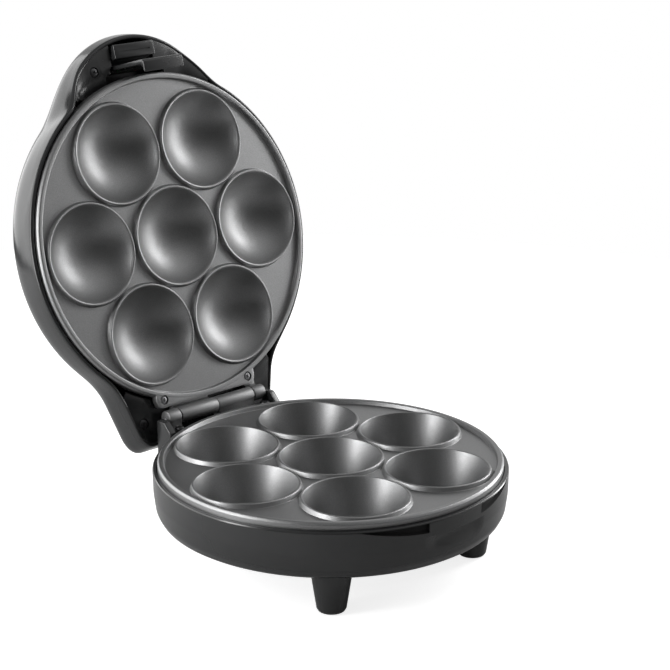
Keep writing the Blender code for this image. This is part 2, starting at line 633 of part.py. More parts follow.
inner_side = [(x, math.sqrt(107.5 ** 2 - x * x)) for x in (-42.2, -32.0, -16.0, 0.0, 16.0, 32.0, 42.2)]
prism(bm, inner_side + [(42.2, 105.0), (41.4, 109.2), (38.5, 110.8), (33.0, 110.3), (-33.0, 110.3), (-38.5, 110.8),
                        (-41.4, 109.2), (-42.2, 105.0)], 3.4, 7.2)
cut(upper_plate, bm, "hinge_flange", "UNION")
UPPER_EAR = ([(107.2, 7.0), (107.2, 3.7), (111.2, 3.7)] + arc(UPPER_KNUCKLE_Y, UPPER_KNUCKLE_Z, KNUCKLE_R, 146, 432, 13)
             + [(119.0, 7.0)])
bm = bmesh.new()
prism(bm, UPPER_EAR, KNUCKLES[1] + 0.4, KNUCKLES[2] - 0.2, "X")
prism(bm, UPPER_EAR, KNUCKLES[3] + 0.6, KNUCKLES[4], "X")
cut(upper_plate, bm, "upper_knuckles", "UNION")
bm = bmesh.new()
rod(bm, PIN_R + GAP, -50, 50, HINGE_Y, HINGE_Z - LID_LIFT, 12)
cut(upper_plate, bm, "upper_pin_bore")
bm = bmesh.new()
for s in (-1, 1):
    lathe(bm, [(0, -2), (3.7, -2), (3.7, 5.3), (1.9, 5.3), (1.9, 12), (0, 12)], 16, (s * 36.5, 105.0))
cut(upper_plate, bm, "flange_screw_holes")
bm = bmesh.new()
for s in (-1, 1):
    lathe(bm, [(0, 7.55), (5.0, 7.55), (5.0, 14), (0, 14)], 16, (s * 36.5, 105.0))
cut(upper_plate, bm, "skirt_notches")
for side, s in SIDES:
    fastener("upper_hinge_screw_" + side, LID, s * 36.5, 105.0, 5.0, 16.0, 1.3, 3.3, 1.3, 10, mat="black_screw")

# ---- lid housing: outer and inner skins joined round the lower edge
bm = bmesh.new()
outer, top_out = lid_rings(0.0, 0.0, 0.0)
inner, top_in = lid_rings(LID_T, 2.0, LID_T)
skins = []
for rings, apex in ((outer, top_out), (inner, top_in)):
    vr = [[bm.verts.new(p) for p in ring] for ring in rings]
    tip = bm.verts.new((0.0, 0.0, apex))
    for a, b in zip(vr, vr[1:]):
        for i in range(LID_SEGS):
            j = (i + 1) % LID_SEGS
            bm.faces.new((a[i], a[j], b[j], b[i]))
    for i in range(LID_SEGS):
        bm.faces.new((vr[-1][i], vr[-1][(i + 1) % LID_SEGS], tip))
    skins.append(vr[0])
for i in range(LID_SEGS):
    j = (i + 1) % LID_SEGS
    bm.faces.new((skins[0][i], skins[0][j], skins[1][j], skins[1][i]))
lid_housing = make("lid_housing", bm, LID, "shell_black")
LENS_X, LENS_Y = 11.0, -88.0
HANDLE_SCREWS = [(-32.4, -116.0), (32.4, -116.0)]
TONGUE_SCREWS = [(-51.0, 118.0), (51.0, 118.0)]
bm = bmesh.new()
# posts inside the lid: two for the plate's hinge flange, two for each panel
for x, y, z, top in ([(s * 36.5, 105.0, 7.9, 34.9) for s in (-1, 1)] + [(*p, 17.6, 33.3) for p in HANDLE_SCREWS]
                     + [(*p, 11.6, 33.3) for p in TONGUE_SCREWS]):
    lathe(bm, [(0, z), (4.2, z), (4.4, top), (0, top)], 10, (x, y))
cut(lid_housing, bm, "lid_posts", "UNION")
bm = bmesh.new()
for x, y, z in [(s * 36.5, 105.0, 7.0) for s in (-1, 1)] + [(*p, 16.8) for p in HANDLE_SCREWS] + [(*p, 10.8) for p in TONGUE_SCREWS]:
    lathe(bm, [(0, z - 2), (1.7, z - 2), (1.7, z + 11.5), (0, z + 11.5)], 8, (x, y))
for s in (-1, 1):
    lathe(bm, [(0, 28), (4.3, 28), (4.3, 42), (0, 42)], 12, (s * LENS_X, LENS_Y))
cut(lid_housing, bm, "lid_holes")

# ---- indicator lenses
for name, s, mat in (("power_lens", -1, "lens_red"), ("ready_lens", 1, "lens_green")):
    bm = bmesh.new()
    lathe(bm, [(0, 30.6), (5.2, 30.6), (5.2, 31.8), (3.9, 31.8), (3.9, 36.4), (2.4, 37.1), (0, 37.4)], 12, (s * LENS_X, LENS_Y))
    make(name, bm, LID, mat)
bm = bmesh.new()
box(bm, -18.0, 18.0, -95.0, -81.0, 26.2, 27.4)
for s in (-1, 1):
    lathe(bm, [(0, 26.8), (2.2, 26.8), (2.2, 29.6), (1.0, 30.3), (0, 30.3)], 10, (s * LENS_X, LENS_Y))
holder = make("lamp_holder", bm, LID, "ceramic_white")
mod_bm = bmesh.new()
box(mod_bm, -2.0, 2.0, -90.0, -86.0, 27.0, 28.4)
cut(holder, mod_bm, "lamp_resistor", "UNION")


# ---- panels under the handle lobe and under the tongue
def panel_outline(half, centre_deg, level, inset, inner_r):
    """A panel that spans half of the lid's samples each way from its middle and keeps inset from the lid's outline."""
    out, inn = [], []
    middle = 0 if centre_deg == 0 else LID_SEGS // 2
    for i in range(-half, half + 1):
        phi = LID_ANGLES[(middle + i) % LID_SEGS]
        _, disc, lobe, k, width, length = level
        r = lid_radius(phi, disc, lobe, k, width, length) - inset
        out.append((r * math.sin(phi), -r * math.cos(phi)))
        inn.append((inner_r * math.sin(phi), -inner_r * math.cos(phi)))
    return out + inn[::-1]


EDGE = LID_LEVELS[0]
bm = bmesh.new()
# the handle's panel follows the shell's lower edge down to where the lobe meets the disc
columns = [(LID_ANGLES[i % LID_SEGS], 2.6, 112.0) for i in range(-6, 7)]
columns = [(-math.radians(29.0), 2.7, 112.0)] + columns + [(math.radians(29.0), 2.7, 112.0)]
rows = []
for phi, inset, inner_r in columns:
    z, r = lid_edge_z(phi) + 0.4, lid_radius(phi, *EDGE[1:]) - inset
    rows.append([bm.verts.new((q * math.sin(phi), -q * math.cos(phi), h)) for q, h in ((inner_r, z), (r, z), (r, z + 2.2), (inner_r, z + 2.2))])
for a, b in zip(rows, rows[1:]):
    for k in range(4):
        bm.faces.new((a[k], a[(k + 1) % 4], b[(k + 1) % 4], b[k]))
bm.faces.new(rows[0])
bm.faces.new(rows[-1])
handle_cover = make("handle_inner_cover", bm, LID, "inner_black")
bm = bmesh.new()
EAR_IN, EAR_OUT = 18.6, 21.4
for s in (-1, 1):
    prism(bm, [(-121.6, 15.8), (-113.4, 15.8), (-113.4, 30.4), (-121.6, 30.4)],
          min(s * EAR_IN, s * EAR_OUT), max(s * EAR_IN, s * EAR_OUT), "X")
cut(handle_cover, bm, "latch_ears", "UNION")
bm = bmesh.new()
box(bm, -20.0, 20.0, -121.2, -113.8, 28.7, 30.2)
cut(handle_cover, bm, "ear_bridge", "UNION")
bm = bmesh.new()
prism(bm, [(-17.6, -140.0), (17.6, -140.0), (17.6, -118.6), (24.4, -111.0), (24.4, -100.0), (-24.4, -100.0), (-24.4, -111.0),
           (-17.6, -118.6)], 10.0, 19.0)
cut(handle_cover, bm, "latch_window")
bm = bmesh.new()
rod(bm, LATCH_PIN_R + GAP, -30, 30, LATCH_Y, LATCH_Z, 12)
cut(handle_cover, bm, "latch_pin_holes")
bm = bmesh.new()
for p in HANDLE_SCREWS:
    lathe(bm, [(0, 10), (3.5, 10), (3.5, 16.1), (1.8, 16.1), (1.8, 20), (0, 20)], 16, p)
cut(handle_cover, bm, "handle_screw_holes")

bm = bmesh.new()
prism(bm, panel_outline(8, 180.0, EDGE, 2.6, 111.4), 8.7, 11.0)
hinge_cover = make("hinge_inner_cover", bm, LID, "inner_black")
bm = bmesh.new()
for p in TONGUE_SCREWS:
    lathe(bm, [(0, 5), (3.5, 5), (3.5, 10.0), (1.8, 10.0), (1.8, 14), (0, 14)], 16, p)
for s in (-1, 1):
    lathe(bm, [(0, 5), (5.0, 5), (5.0, 14), (0, 14)], 16, (s * 36.5, 105.0))
cut(hinge_cover, bm, "tongue_screw_holes")
for (side, _), p in zip(SIDES, HANDLE_SCREWS):
    fastener("handle_cover_screw_" + side, LID, p[0], p[1], 15.8, 26.2, 1.2, 3.1, 0.8, 10, mat="black_screw")
for (side, _), p in zip(SIDES, TONGUE_SCREWS):
    fastener("hinge_cover_screw_" + side, LID, p[0], p[1], 9.7, 20.0, 1.2, 3.1, 0.7, 10, mat="black_screw")

# ---- reflector over the element, thermostat
bm = bmesh.new()
lathe(bm, [(0, 24.6), (91.4, 24.6), (91.4, 22.4), (92.4, 22.4), (92.4, 25.2), (0, 25.2)], 24)
shield = make("upper_heat_shield", bm, LID, "shield_aluminium")
bm = bmesh.new()
for s in (-1, 1):
    x = s * 35.0 * math.sin(math.radians(15))
    lathe(bm, [(0, 18), (4.6, 18), (4.6, 28), (0, 28)], 8, (x, 35.0 * math.cos(math.radians(15))))
cut(shield, bm, "upper_element_holes")
bm = bmesh.new()
lathe(bm, [(0, 7.3), (8.0, 7.3), (8.0, 12.0), (6.6, 12.4), (6.6, 17.5), (0, 17.5)], 12, (0.0, 87.0))
make("thermostat", bm, LID, "ceramic_white")

# ---- latch pin and its torsion spring
bm = bmesh.new()
rod(bm, LATCH_PIN_R, -22.0, 22.0, LATCH_Y, LATCH_Z, 12)
make("latch_pin", bm, LID, "steel")
turns, wire, coil_r, steps = 3, 0.45, 2.7, 27
path = [(3.2 * (2 * i / steps - 1), LATCH_Y + coil_r * math.cos(2 * math.pi * turns * i / steps + 0.5 * math.pi),
         LATCH_Z + coil_r * math.sin(2 * math.pi * turns * i / steps + 0.5 * math.pi)) for i in range(steps + 1)]
tube("latch_spring", path, wire, LID, "steel", 0)

# ================================================================ LATCH
bm = bmesh.new()
LEVER = ([(-131.6, 10.0), (-122.6, 10.0), (-122.2, 10.6), (-122.2, 15.6), (-118.3, 19.0)]
         + [(-118.3, -17.3), (-117.2, -19.1), (-110.8, -19.1), (-109.9, -18.4), (-109.9, -17.6), (-113.5, -16.8), (-115.4, -14.4),
            (-115.4, 18.6), (-113.8, 20.5)]
         + arc(LATCH_Y, LATCH_Z, 4.0, -20, 195, 8) + [(-122.6, 18.0), (-126.0, 14.2), (-131.0, 13.6), (-132.0, 12.0)])
prism(bm, LEVER, -LATCH_HALF, LATCH_HALF, "X")
latch_lever = make("latch_lever", bm, LATCH, "inner_black")
bm = bmesh.new()
rod(bm, LATCH_PIN_R + GAP, -30, 30, LATCH_Y, LATCH_Z, 12)
cut(latch_lever, bm, "lever_pin_bore")
bm = bmesh.new()
rod(bm, 5.2, -4.4, 4.4, LATCH_Y, LATCH_Z, 12)
cut(latch_lever, bm, "spring_slot")
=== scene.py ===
"""Looks of the cupcake maker: fine surfaces, materials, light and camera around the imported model."""
import json
import math

import bmesh
import bpy
from mathutils import Matrix, Vector


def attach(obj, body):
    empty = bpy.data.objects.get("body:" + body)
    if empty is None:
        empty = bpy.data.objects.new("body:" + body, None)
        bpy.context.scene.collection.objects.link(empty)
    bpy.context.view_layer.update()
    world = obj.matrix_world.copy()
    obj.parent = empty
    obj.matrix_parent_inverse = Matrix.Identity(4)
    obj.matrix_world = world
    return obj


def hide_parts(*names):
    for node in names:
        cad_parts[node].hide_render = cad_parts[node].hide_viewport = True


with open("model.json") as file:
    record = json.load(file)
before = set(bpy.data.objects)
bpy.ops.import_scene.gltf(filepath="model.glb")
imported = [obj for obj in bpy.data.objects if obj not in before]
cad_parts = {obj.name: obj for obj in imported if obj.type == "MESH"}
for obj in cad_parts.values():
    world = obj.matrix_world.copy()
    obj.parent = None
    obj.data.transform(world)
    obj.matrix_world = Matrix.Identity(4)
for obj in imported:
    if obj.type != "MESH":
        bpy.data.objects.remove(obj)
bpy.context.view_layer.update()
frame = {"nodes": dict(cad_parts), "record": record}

scene = bpy.context.scene

# ---------------------------------------------------------------- camera, at the photograph's angle
lens = bpy.data.cameras.new("camera")
lens.lens = 107.6
lens.sensor_width = 36.0
lens.clip_start = 0.02
lens.clip_end = 60.0
camera = bpy.data.objects.new("camera", lens)
camera.location = (-0.8033, -0.9299, 0.5250)
camera.rotation_euler = Vector((0.6448, 0.7012, -0.3042)).to_track_quat("-Z", "Y").to_euler()
scene.collection.objects.link(camera)
scene.camera = camera

# ---------------------------------------------------------------- dimensions, mm, in the plate frame
FLOOR, Y_SHIFT = 65.0, -52.3
HINGE_Y, HINGE_Z, LID_LIFT, OPEN_DEG = 118.3, 1.2, 1.9, 105.4
PITCH = 70.0
PLATE_R = 110.0
UZ = 1.5                # level of the upper plate's crests, drawn shut
RIM_H = 3.0
SHELL_R = 113.2
FEET = {"foot_front_left": (-61.0, -67.3), "foot_front_right": (61.0, -67.3),
        "foot_rear_left": (-52.0, 76.0), "foot_rear_right": (52.0, 76.0)}
LATCH_Y, LATCH_Z, LATCH_HALF = -117.0, 24.0, 16.5
PIN_R, KNUCKLE_R = 1.9, 5.2
KNUCKLE_OFF = (-0.9, 1.7)
KNUCKLES = (-40.6, -30.6, 1.2, 32.4, 42.4)
POSTS = [(90.0 * math.cos(math.radians(a)), 90.0 * math.sin(math.radians(a))) for a in (30, 150, 210, 330)]
CUPS = [(0.0, 0.0)] + [(PITCH * math.cos(math.radians(60 * k)), PITCH * math.sin(math.radians(60 * k))) for k in range(6)]
HANDLE_SCREWS = {"left": (-32.4, -116.0), "right": (32.4, -116.0)}
TONGUE_SCREWS = {"left": (-51.0, 118.0), "right": (51.0, 118.0)}
LENS_X, LENS_Y = 11.0, -88.0

TO_M = Matrix.Scale(0.001, 4)
BASE_M = Matrix.Translation((0, Y_SHIFT * 0.001, FLOOR * 0.001)) @ TO_M
LID_M = (Matrix.Translation((0, (HINGE_Y + Y_SHIFT) * 0.001, (HINGE_Z + FLOOR) * 0.001))
         @ Matrix.Rotation(-math.radians(OPEN_DEG), 4, "X") @ TO_M @ Matrix.Translation((0, -HINGE_Y, -(HINGE_Z - LID_LIFT))))
PLACE = {"base": BASE_M, "lid": LID_M, "latch": LID_M}


# ---------------------------------------------------------------- materials
def new_material(name):
    mat = bpy.data.materials.new(name)
    mat.use_nodes = True
    nt = mat.node_tree
    return mat, nt, nt.nodes["Principled BSDF"]


def link(nt, a, b):
    nt.links.new(a, b)


def noise_node(nt, coords, scale, detail=2.0, rough=0.5):
    n = nt.nodes.new("ShaderNodeTexNoise")
    n.inputs["Scale"].default_value = scale
    n.inputs["Detail"].default_value = detail
    n.inputs["Roughness"].default_value = rough
    link(nt, coords, n.inputs["Vector"])
    return n.outputs["Fac"]


def ramp(nt, fac, low, high, a, b):
    """Maps fac from low..high to a..b."""
    n = nt.nodes.new("ShaderNodeMapRange")
    n.inputs["From Min"].default_value = low
    n.inputs["From Max"].default_value = high
    n.inputs["To Min"].default_value = a
    n.inputs["To Max"].default_value = b
    link(nt, fac, n.inputs["Value"])
    return n.outputs["Result"]


def mix_colour(nt, fac, a, b):
    n = nt.nodes.new("ShaderNodeMix")
    n.data_type = "RGBA"
    link(nt, fac, n.inputs["Factor"])
    n.inputs["A"].default_value = (*a, 1.0)
    n.inputs["B"].default_value = (*b, 1.0)
    return n.outputs["Result"]


def math_node(nt, op, a, b):
    n = nt.nodes.new("ShaderNodeMath")
    n.operation = op
    for sock, v in ((n.inputs[0], a), (n.inputs[1], b)):
        if isinstance(v, (int, float)):
            sock.default_value = v
        else:
            link(nt, v, sock)
    return n.outputs["Value"]


def bump(nt, height, strength, distance, under=None):
    n = nt.nodes.new("ShaderNodeBump")
    n.inputs["Strength"].default_value = strength
    n.inputs["Distance"].default_value = distance
    link(nt, height, n.inputs["Height"])
    if under is not None:
        link(nt, under, n.inputs["Normal"])
    return n.outputs["Normal"]


def object_coords(nt):
    return nt.nodes.new("ShaderNodeTexCoord").outputs["Object"]


def plastic(name, dark, light, rough, spread, ior=1.5, peel=0.02, grain=0.0, dust=0.0):
    """Moulded plastic: faint flow mottling in colour and gloss, orange peel, optional fine spark-erosion grain and dust."""
    mat, nt, sh = new_material(name)
    co = object_coords(nt)
    flow = noise_node(nt, co, 14.0, 3.0, 0.55)
    fine = noise_node(nt, co, 900.0, 2.0, 0.6)
    link(nt, mix_colour(nt, ramp(nt, flow, 0.3, 0.7, 0.0, 1.0), dark, light), sh.inputs["Base Color"])
    r = ramp(nt, noise_node(nt, co, 45.0, 4.0, 0.6), 0.35, 0.7, rough - spread, rough + spread)
    if dust:
        specks = noise_node(nt, co, 2200.0, 0.0, 0.5)
        r = math_node(nt, "ADD", r, ramp(nt, specks, 0.70, 0.78, 0.0, dust))
    link(nt, r, sh.inputs["Roughness"])
    sh.inputs["IOR"].default_value = ior
    normal = None
    if peel:
        normal = bump(nt, noise_node(nt, co, 160.0, 1.0, 0.4), peel, 0.001)
    if grain:
        normal = bump(nt, fine, grain, 0.0002, normal)
    if normal is not None:
        link(nt, normal, sh.inputs["Normal"])
    return mat


def painted_scoop_shade(mat):
    """Painted shade: a near-black, matt colour inside the two finger scoops of the base shell, which lie just inside
    the outer wall under the rim, where the shade falls.
    """
    nt = mat.node_tree
    sh = nt.nodes["Principled BSDF"]
    xyz = nt.nodes.new("ShaderNodeSeparateXYZ")
    link(nt, object_coords(nt), xyz.inputs["Vector"])
    x, z = xyz.outputs["X"], xyz.outputs["Z"]
    y = math_node(nt, "SUBTRACT", xyz.outputs["Y"], Y_SHIFT * 0.001)
    r = math_node(nt, "SQRT", math_node(nt, "ADD", math_node(nt, "MULTIPLY", x, x), math_node(nt, "MULTIPLY", y, y)), 0.0)
    # mask of the painted shade: the scoops' hollows under the rim, at the front of the shell
    painted_shade_zone = math_node(nt, "MULTIPLY", ramp(nt, r, 0.11270, 0.11290, 1.0, 0.0), ramp(nt, z, FLOOR * 0.001 - 0.0056, FLOOR * 0.001 - 0.0059, 0.0, 1.0))
    painted_shade_zone = math_node(nt, "MULTIPLY", painted_shade_zone, ramp(nt, z, FLOOR * 0.001 - 0.0134, FLOOR * 0.001 - 0.0130, 0.0, 1.0))
    painted_shade_zone = math_node(nt, "MULTIPLY", painted_shade_zone, ramp(nt, y, -0.075, -0.080, 0.0, 1.0))
    # painted shade: near-black colour and matt roughness where the mask holds
    for sock, value in ((sh.inputs["Base Color"], (0.004, 0.004, 0.004, 1.0)), (sh.inputs["Roughness"], 0.9)):
        old = sock.links[0].from_socket
        n = nt.nodes.new("ShaderNodeMix")
        link(nt, painted_shade_zone, n.inputs["Factor"])
        if sock.name == "Base Color":
            n.data_type = "RGBA"
            a, b, out = [q for q in n.inputs if q.name == "A" and q.type == "RGBA"][0], [q for q in n.inputs if q.name == "B" and q.type == "RGBA"][0], \
                [q for q in n.outputs if q.type == "RGBA"][0]
        else:
            a, b, out = n.inputs["A"], n.inputs["B"], n.outputs["Result"]
        link(nt, old, a)
        b.default_value = value
        link(nt, out, sock)
    return mat


def coated_cast(name, shade=1.0, dull=0.0):
    """Cast plate with a satin dark grey non-stick coat: fine spray grain, small sparkle, faint tone drift. shade scales
    the coat's colour down, painted shade for a darker copy of the same coat; dull adds roughness.
    """
    mat, nt, sh = new_material(name)
    co = object_coords(nt)
    drift = noise_node(nt, co, 18.0, 3.0, 0.5)
    grain = noise_node(nt, co, 2600.0, 2.0, 0.65)
    spots = noise_node(nt, co, 5200.0, 0.0, 0.5)
    base = nt.nodes.new("ShaderNodeMix")
    base.data_type = "RGBA"
    link(nt, ramp(nt, grain, 0.35, 0.7, 0.0, 1.0), base.inputs["Factor"])
    link(nt, mix_colour(nt, drift, tuple(c * shade for c in NONSTICK_DARK), tuple(c * shade for c in NONSTICK_MID)), base.inputs["A"])
    base.inputs["B"].default_value = (*(c * shade for c in NONSTICK_LIGHT), 1.0)
    link(nt, base.outputs["Result"], sh.inputs["Base Color"])
    sh.inputs["Metallic"].default_value = 1.0
    r = ramp(nt, grain, 0.3, 0.75, 0.41 + dull, 0.49 + dull)
    link(nt, math_node(nt, "SUBTRACT", r, ramp(nt, spots, 0.68, 0.76, 0.0, 0.08)), sh.inputs["Roughness"])
    sh.inputs["IOR"].default_value = 1.5
    n = bump(nt, noise_node(nt, co, 420.0, 2.0, 0.5), 0.035, 0.001)
    link(nt, bump(nt, grain, 0.12, 0.0002, n), sh.inputs["Normal"])
    return mat


def metal(name, colour, rough, spread, scale=(1.0, 1.0, 1.0), bump_strength=0.05, tint=0.85):
    """Bare metal: fine drawn lines along one direction and small patches of duller surface."""
    mat, nt, sh = new_material(name)
    co = object_coords(nt)
    mapping = nt.nodes.new("ShaderNodeMapping")
    mapping.inputs["Scale"].default_value = scale
    link(nt, co, mapping.inputs["Vector"])
    lines = noise_node(nt, mapping.outputs["Vector"], 1400.0, 2.0, 0.6)
    patches = noise_node(nt, co, 220.0, 3.0, 0.6)
    dull = tuple(c * tint for c in colour)
    link(nt, mix_colour(nt, ramp(nt, patches, 0.4, 0.7, 0.0, 1.0), colour, dull), sh.inputs["Base Color"])
    link(nt, ramp(nt, math_node(nt, "ADD", math_node(nt, "MULTIPLY", lines, 0.6), math_node(nt, "MULTIPLY", patches, 0.4)),
                  0.3, 0.7, rough - spread, rough + spread), sh.inputs["Roughness"])
    sh.inputs["Metallic"].default_value = 1.0
    link(nt, bump(nt, lines, bump_strength, 0.0002), sh.inputs["Normal"])
    return mat


def soft_matt(name, a, b, rough, scale, strength):
    """Rubber, glass-cloth sleeve or unglazed ceramic: mottled, matt, with a grain of its own."""
    mat, nt, sh = new_material(name)
    co = object_coords(nt)
    grain = noise_node(nt, co, scale, 3.0, 0.6)
    link(nt, mix_colour(nt, ramp(nt, grain, 0.3, 0.7, 0.0, 1.0), a, b), sh.inputs["Base Color"])
    link(nt, ramp(nt, noise_node(nt, co, scale * 0.2, 2.0, 0.5), 0.3, 0.7, rough - 0.06, rough + 0.06), sh.inputs["Roughness"])
    link(nt, bump(nt, grain, strength, 0.0003), sh.inputs["Normal"])
    return mat


def tinted_lens(name, colour):
    """Clear tinted plastic with tiny moulded swirls."""
    mat, nt, sh = new_material(name)
    co = object_coords(nt)
    swirl = noise_node(nt, co, 320.0, 2.0, 0.5)
    link(nt, mix_colour(nt, swirl, tuple(c * 0.8 for c in colour), colour), sh.inputs["Base Color"])
    link(nt, ramp(nt, swirl, 0.3, 0.7, 0.05, 0.12), sh.inputs["Roughness"])
    sh.inputs["Transmission Weight"].default_value = 0.55
    sh.inputs["IOR"].default_value = 1.49
    return mat


SHELL_DARK, SHELL_LIGHT = (0.018, 0.0185, 0.019), (0.026, 0.0265, 0.027)
NONSTICK_DARK = (0.215, 0.216, 0.218)
NONSTICK_MID = (0.265, 0.266, 0.268)
NONSTICK_LIGHT = (0.330, 0.331, 0.333)

M = {
    "shell_black": plastic("shell_black_fine", SHELL_DARK, SHELL_LIGHT, 0.20, 0.03, 1.52, 0.012, 0.0, 0.04),
    "inner_black": plastic("inner_black_fine", (0.010, 0.0105, 0.011), (0.017, 0.0175, 0.018), 0.23, 0.04, 1.5, 0.015, 0.04),
    # a lighter copy of the inner black plastic for the handle's panel, ears and latch lever: the raised colour is
    # painted light
    "handle_black": plastic("handle_black_fine", (0.021, 0.0215, 0.022), (0.030, 0.0305, 0.031), 0.24, 0.04, 1.5, 0.015, 0.04),
    "nonstick": coated_cast("nonstick_fine"),
    # a darker copy of the same coat for the hinge knuckles: its colour scaled to 0.82 is painted shade, its roughness
    # raised
    "nonstick_barrel": coated_cast("nonstick_barrel_fine", 0.82, 0.05),
    "steel": metal("steel_fine", (0.56, 0.56, 0.57), 0.30, 0.06, (0.05, 1.0, 1.0)),
    "zinc_screw": metal("zinc_screw_fine", (0.40, 0.40, 0.41), 0.38, 0.08, (1.0, 1.0, 1.0), 0.08),
    "dark_screw": metal("dark_screw_fine", (0.26, 0.26, 0.265), 0.46, 0.07, (1.0, 1.0, 1.0), 0.08),
    "black_screw": metal("black_screw_fine", (0.07, 0.07, 0.072), 0.38, 0.07, (1.0, 1.0, 1.0), 0.08),
    "element_steel": metal("element_steel_fine", (0.30, 0.285, 0.26), 0.45, 0.08, (1.0, 1.0, 1.0), 0.10, 0.7),
    "shield_aluminium": metal("shield_aluminium_fine", (0.72, 0.73, 0.74), 0.34, 0.06, (0.03, 1.0, 1.0), 0.05),
    "rubber": soft_matt("rubber_fine", (0.024, 0.024, 0.024), (0.040, 0.040, 0.039), 0.82, 1800.0, 0.15),
    "ceramic_white": soft_matt("ceramic_white_fine", (0.70, 0.69, 0.65), (0.80, 0.79, 0.76), 0.62, 900.0, 0.12),
    "lead_sleeve": soft_matt("lead_sleeve_fine", (0.68, 0.65, 0.58), (0.86, 0.84, 0.79), 0.74, 2600.0, 0.4),
    "lens_red": tinted_lens("lens_red_fine", (0.62, 0.03, 0.02)),
    "lens_green": tinted_lens("lens_green_fine", (0.04, 0.42, 0.09)),
}

# every carried-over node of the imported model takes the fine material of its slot
slot_of = {s["node"]: s["material_slot"] for s in frame["record"]["subparts"]}
for node, ob in frame["nodes"].items():
    ob.data.materials.clear()
    ob.data.materials.append(M[slot_of[node]])


# ---------------------------------------------------------------- shape makers, mm
def fillet(points, steps=4, closed=False):
    """Rounds a polyline. A point is (a, b) or (a, b, radius)."""
    n = len(points)
    out = []
    for i, p in enumerate(points):
        here = Vector(p[:2])
        if len(p) < 3 or (not closed and i in (0, n - 1)):
            out.append((here.x, here.y))
            continue
        before, after = Vector(points[i - 1][:2]), Vector(points[(i + 1) % n][:2])
        a, b = before - here, after - here
        la, lb = a.length, b.length
        half = a.angle(b) / 2
        if half > math.radians(88):
            out.append((here.x, here.y))
            continue
        t = min(p[2] / math.tan(half), 0.48 * la, 0.48 * lb)
        s, e = here + a.normalized() * t, here + b.normalized() * t
        r = t * math.tan(half)
        centre = here + (a.normalized() + b.normalized()).normalized() * (r / math.sin(half))
        u, v = s - centre, e - centre
        sweep = u.angle(v)
        for k in range(steps + 1):
            f = k / steps
            w = (u * math.sin((1 - f) * sweep) + v * math.sin(f * sweep)) / math.sin(sweep)
            q = centre + w
            out.append((q.x, q.y))
    return out


def inset(outline, d):
    """A closed outline moved inwards by d."""
    area = sum(a[0] * b[1] - b[0] * a[1] for a, b in zip(outline, outline[1:] + outline[:1]))
    sign = 1.0 if area > 0 else -1.0
    out, n = [], len(outline)
    for i in range(n):
        p, q, r = Vector(outline[i - 1]), Vector(outline[i]), Vector(outline[(i + 1) % n])
        a, b = (q - p).normalized(), (r - q).normalized()
        na, nb = Vector((-a.y, a.x)) * sign, Vector((-b.y, b.x)) * sign
        m = na + nb
        if m.length < 1e-6:
            out.append((q.x + na.x * d, q.y + na.y * d))
            continue
        m.normalize()
        k = d / max(m.dot(na), 0.5)
        out.append((q.x + m.x * k, q.y + m.y * k))
    return out


def lathe(bm, profile, segs, centre=(0.0, 0.0), closed=False, matrix=None):
    """Turns (radius, z) points about a vertical axis."""
    rings = []
    for r, z in profile:
        if r < 1e-6:
            rings.append([bm.verts.new((centre[0], centre[1], z))])
        else:
            rings.append([bm.verts.new((centre[0] + r * math.cos(2 * math.pi * i / segs),
                                        centre[1] + r * math.sin(2 * math.pi * i / segs), z)) for i in range(segs)])
    for low, high in zip(rings, rings[1:] + (rings[:1] if closed else [])):
        if not closed and low is rings[-1]:
            break
        for i in range(segs):
            j = (i + 1) % segs
            if len(low) == 1 and len(high) == 1:
                continue
            if len(low) == 1:
                bm.faces.new((low[0], high[j], high[i]))
            elif len(high) == 1:
                bm.faces.new((low[i], low[j], high[0]))
            else:
                bm.faces.new((low[i], low[j], high[j], high[i]))
    if matrix is not None:
        bmesh.ops.transform(bm, matrix=matrix, verts=[v for ring in rings for v in ring])


def revolve_from(bm, ring, profile, centre=(0.0, 0.0)):
    start = len(ring)
    turns = [math.atan2(v.co.y - centre[1], v.co.x - centre[0]) for v in ring]
    for r, z in profile:
        if r < 1e-6:
            tip = bm.verts.new((centre[0], centre[1], z))
            for i in range(start):
                bm.faces.new((ring[i], ring[(i + 1) % start], tip))
            return None
        new = [bm.verts.new((centre[0] + r * math.cos(a), centre[1] + r * math.sin(a), z)) for a in turns]
        for i in range(start):
            j = (i + 1) % start
            bm.faces.new((ring[i], ring[j], new[j], new[i]))
        ring = new
    return ring


def circle(bm, r, z, segs, centre=(0.0, 0.0)):
    ring = [bm.verts.new((centre[0] + r * math.cos(2 * math.pi * i / segs), centre[1] + r * math.sin(2 * math.pi * i / segs), z))
            for i in range(segs)]
    return ring, [bm.edges.new((ring[i], ring[(i + 1) % segs])) for i in range(segs)]


def cup_plate(bm, edge, face_z, back_z, inside, outside, segs=224, cup_segs=112):
    """A round plate with seven cups, as two skins joined round the rim."""
    rims = []
    for z, start, skin in ((face_z, edge[0][0], inside), (back_z, edge[-1][0], outside)):
        ring, edges = circle(bm, start, z, segs)
        rims.append(ring)
        for c in CUPS:
            mouth, mouth_edges = circle(bm, skin[0][0], z, cup_segs, c)
            edges += mouth_edges
            revolve_from(bm, mouth, skin[1:], c)
        bmesh.ops.triangle_fill(bm, use_beauty=True, edges=edges)
    last = revolve_from(bm, rims[0], edge[1:-1])
    for i in range(segs):
        j = (i + 1) % segs
        bm.faces.new((last[i], last[j], rims[1][j], rims[1][i]))


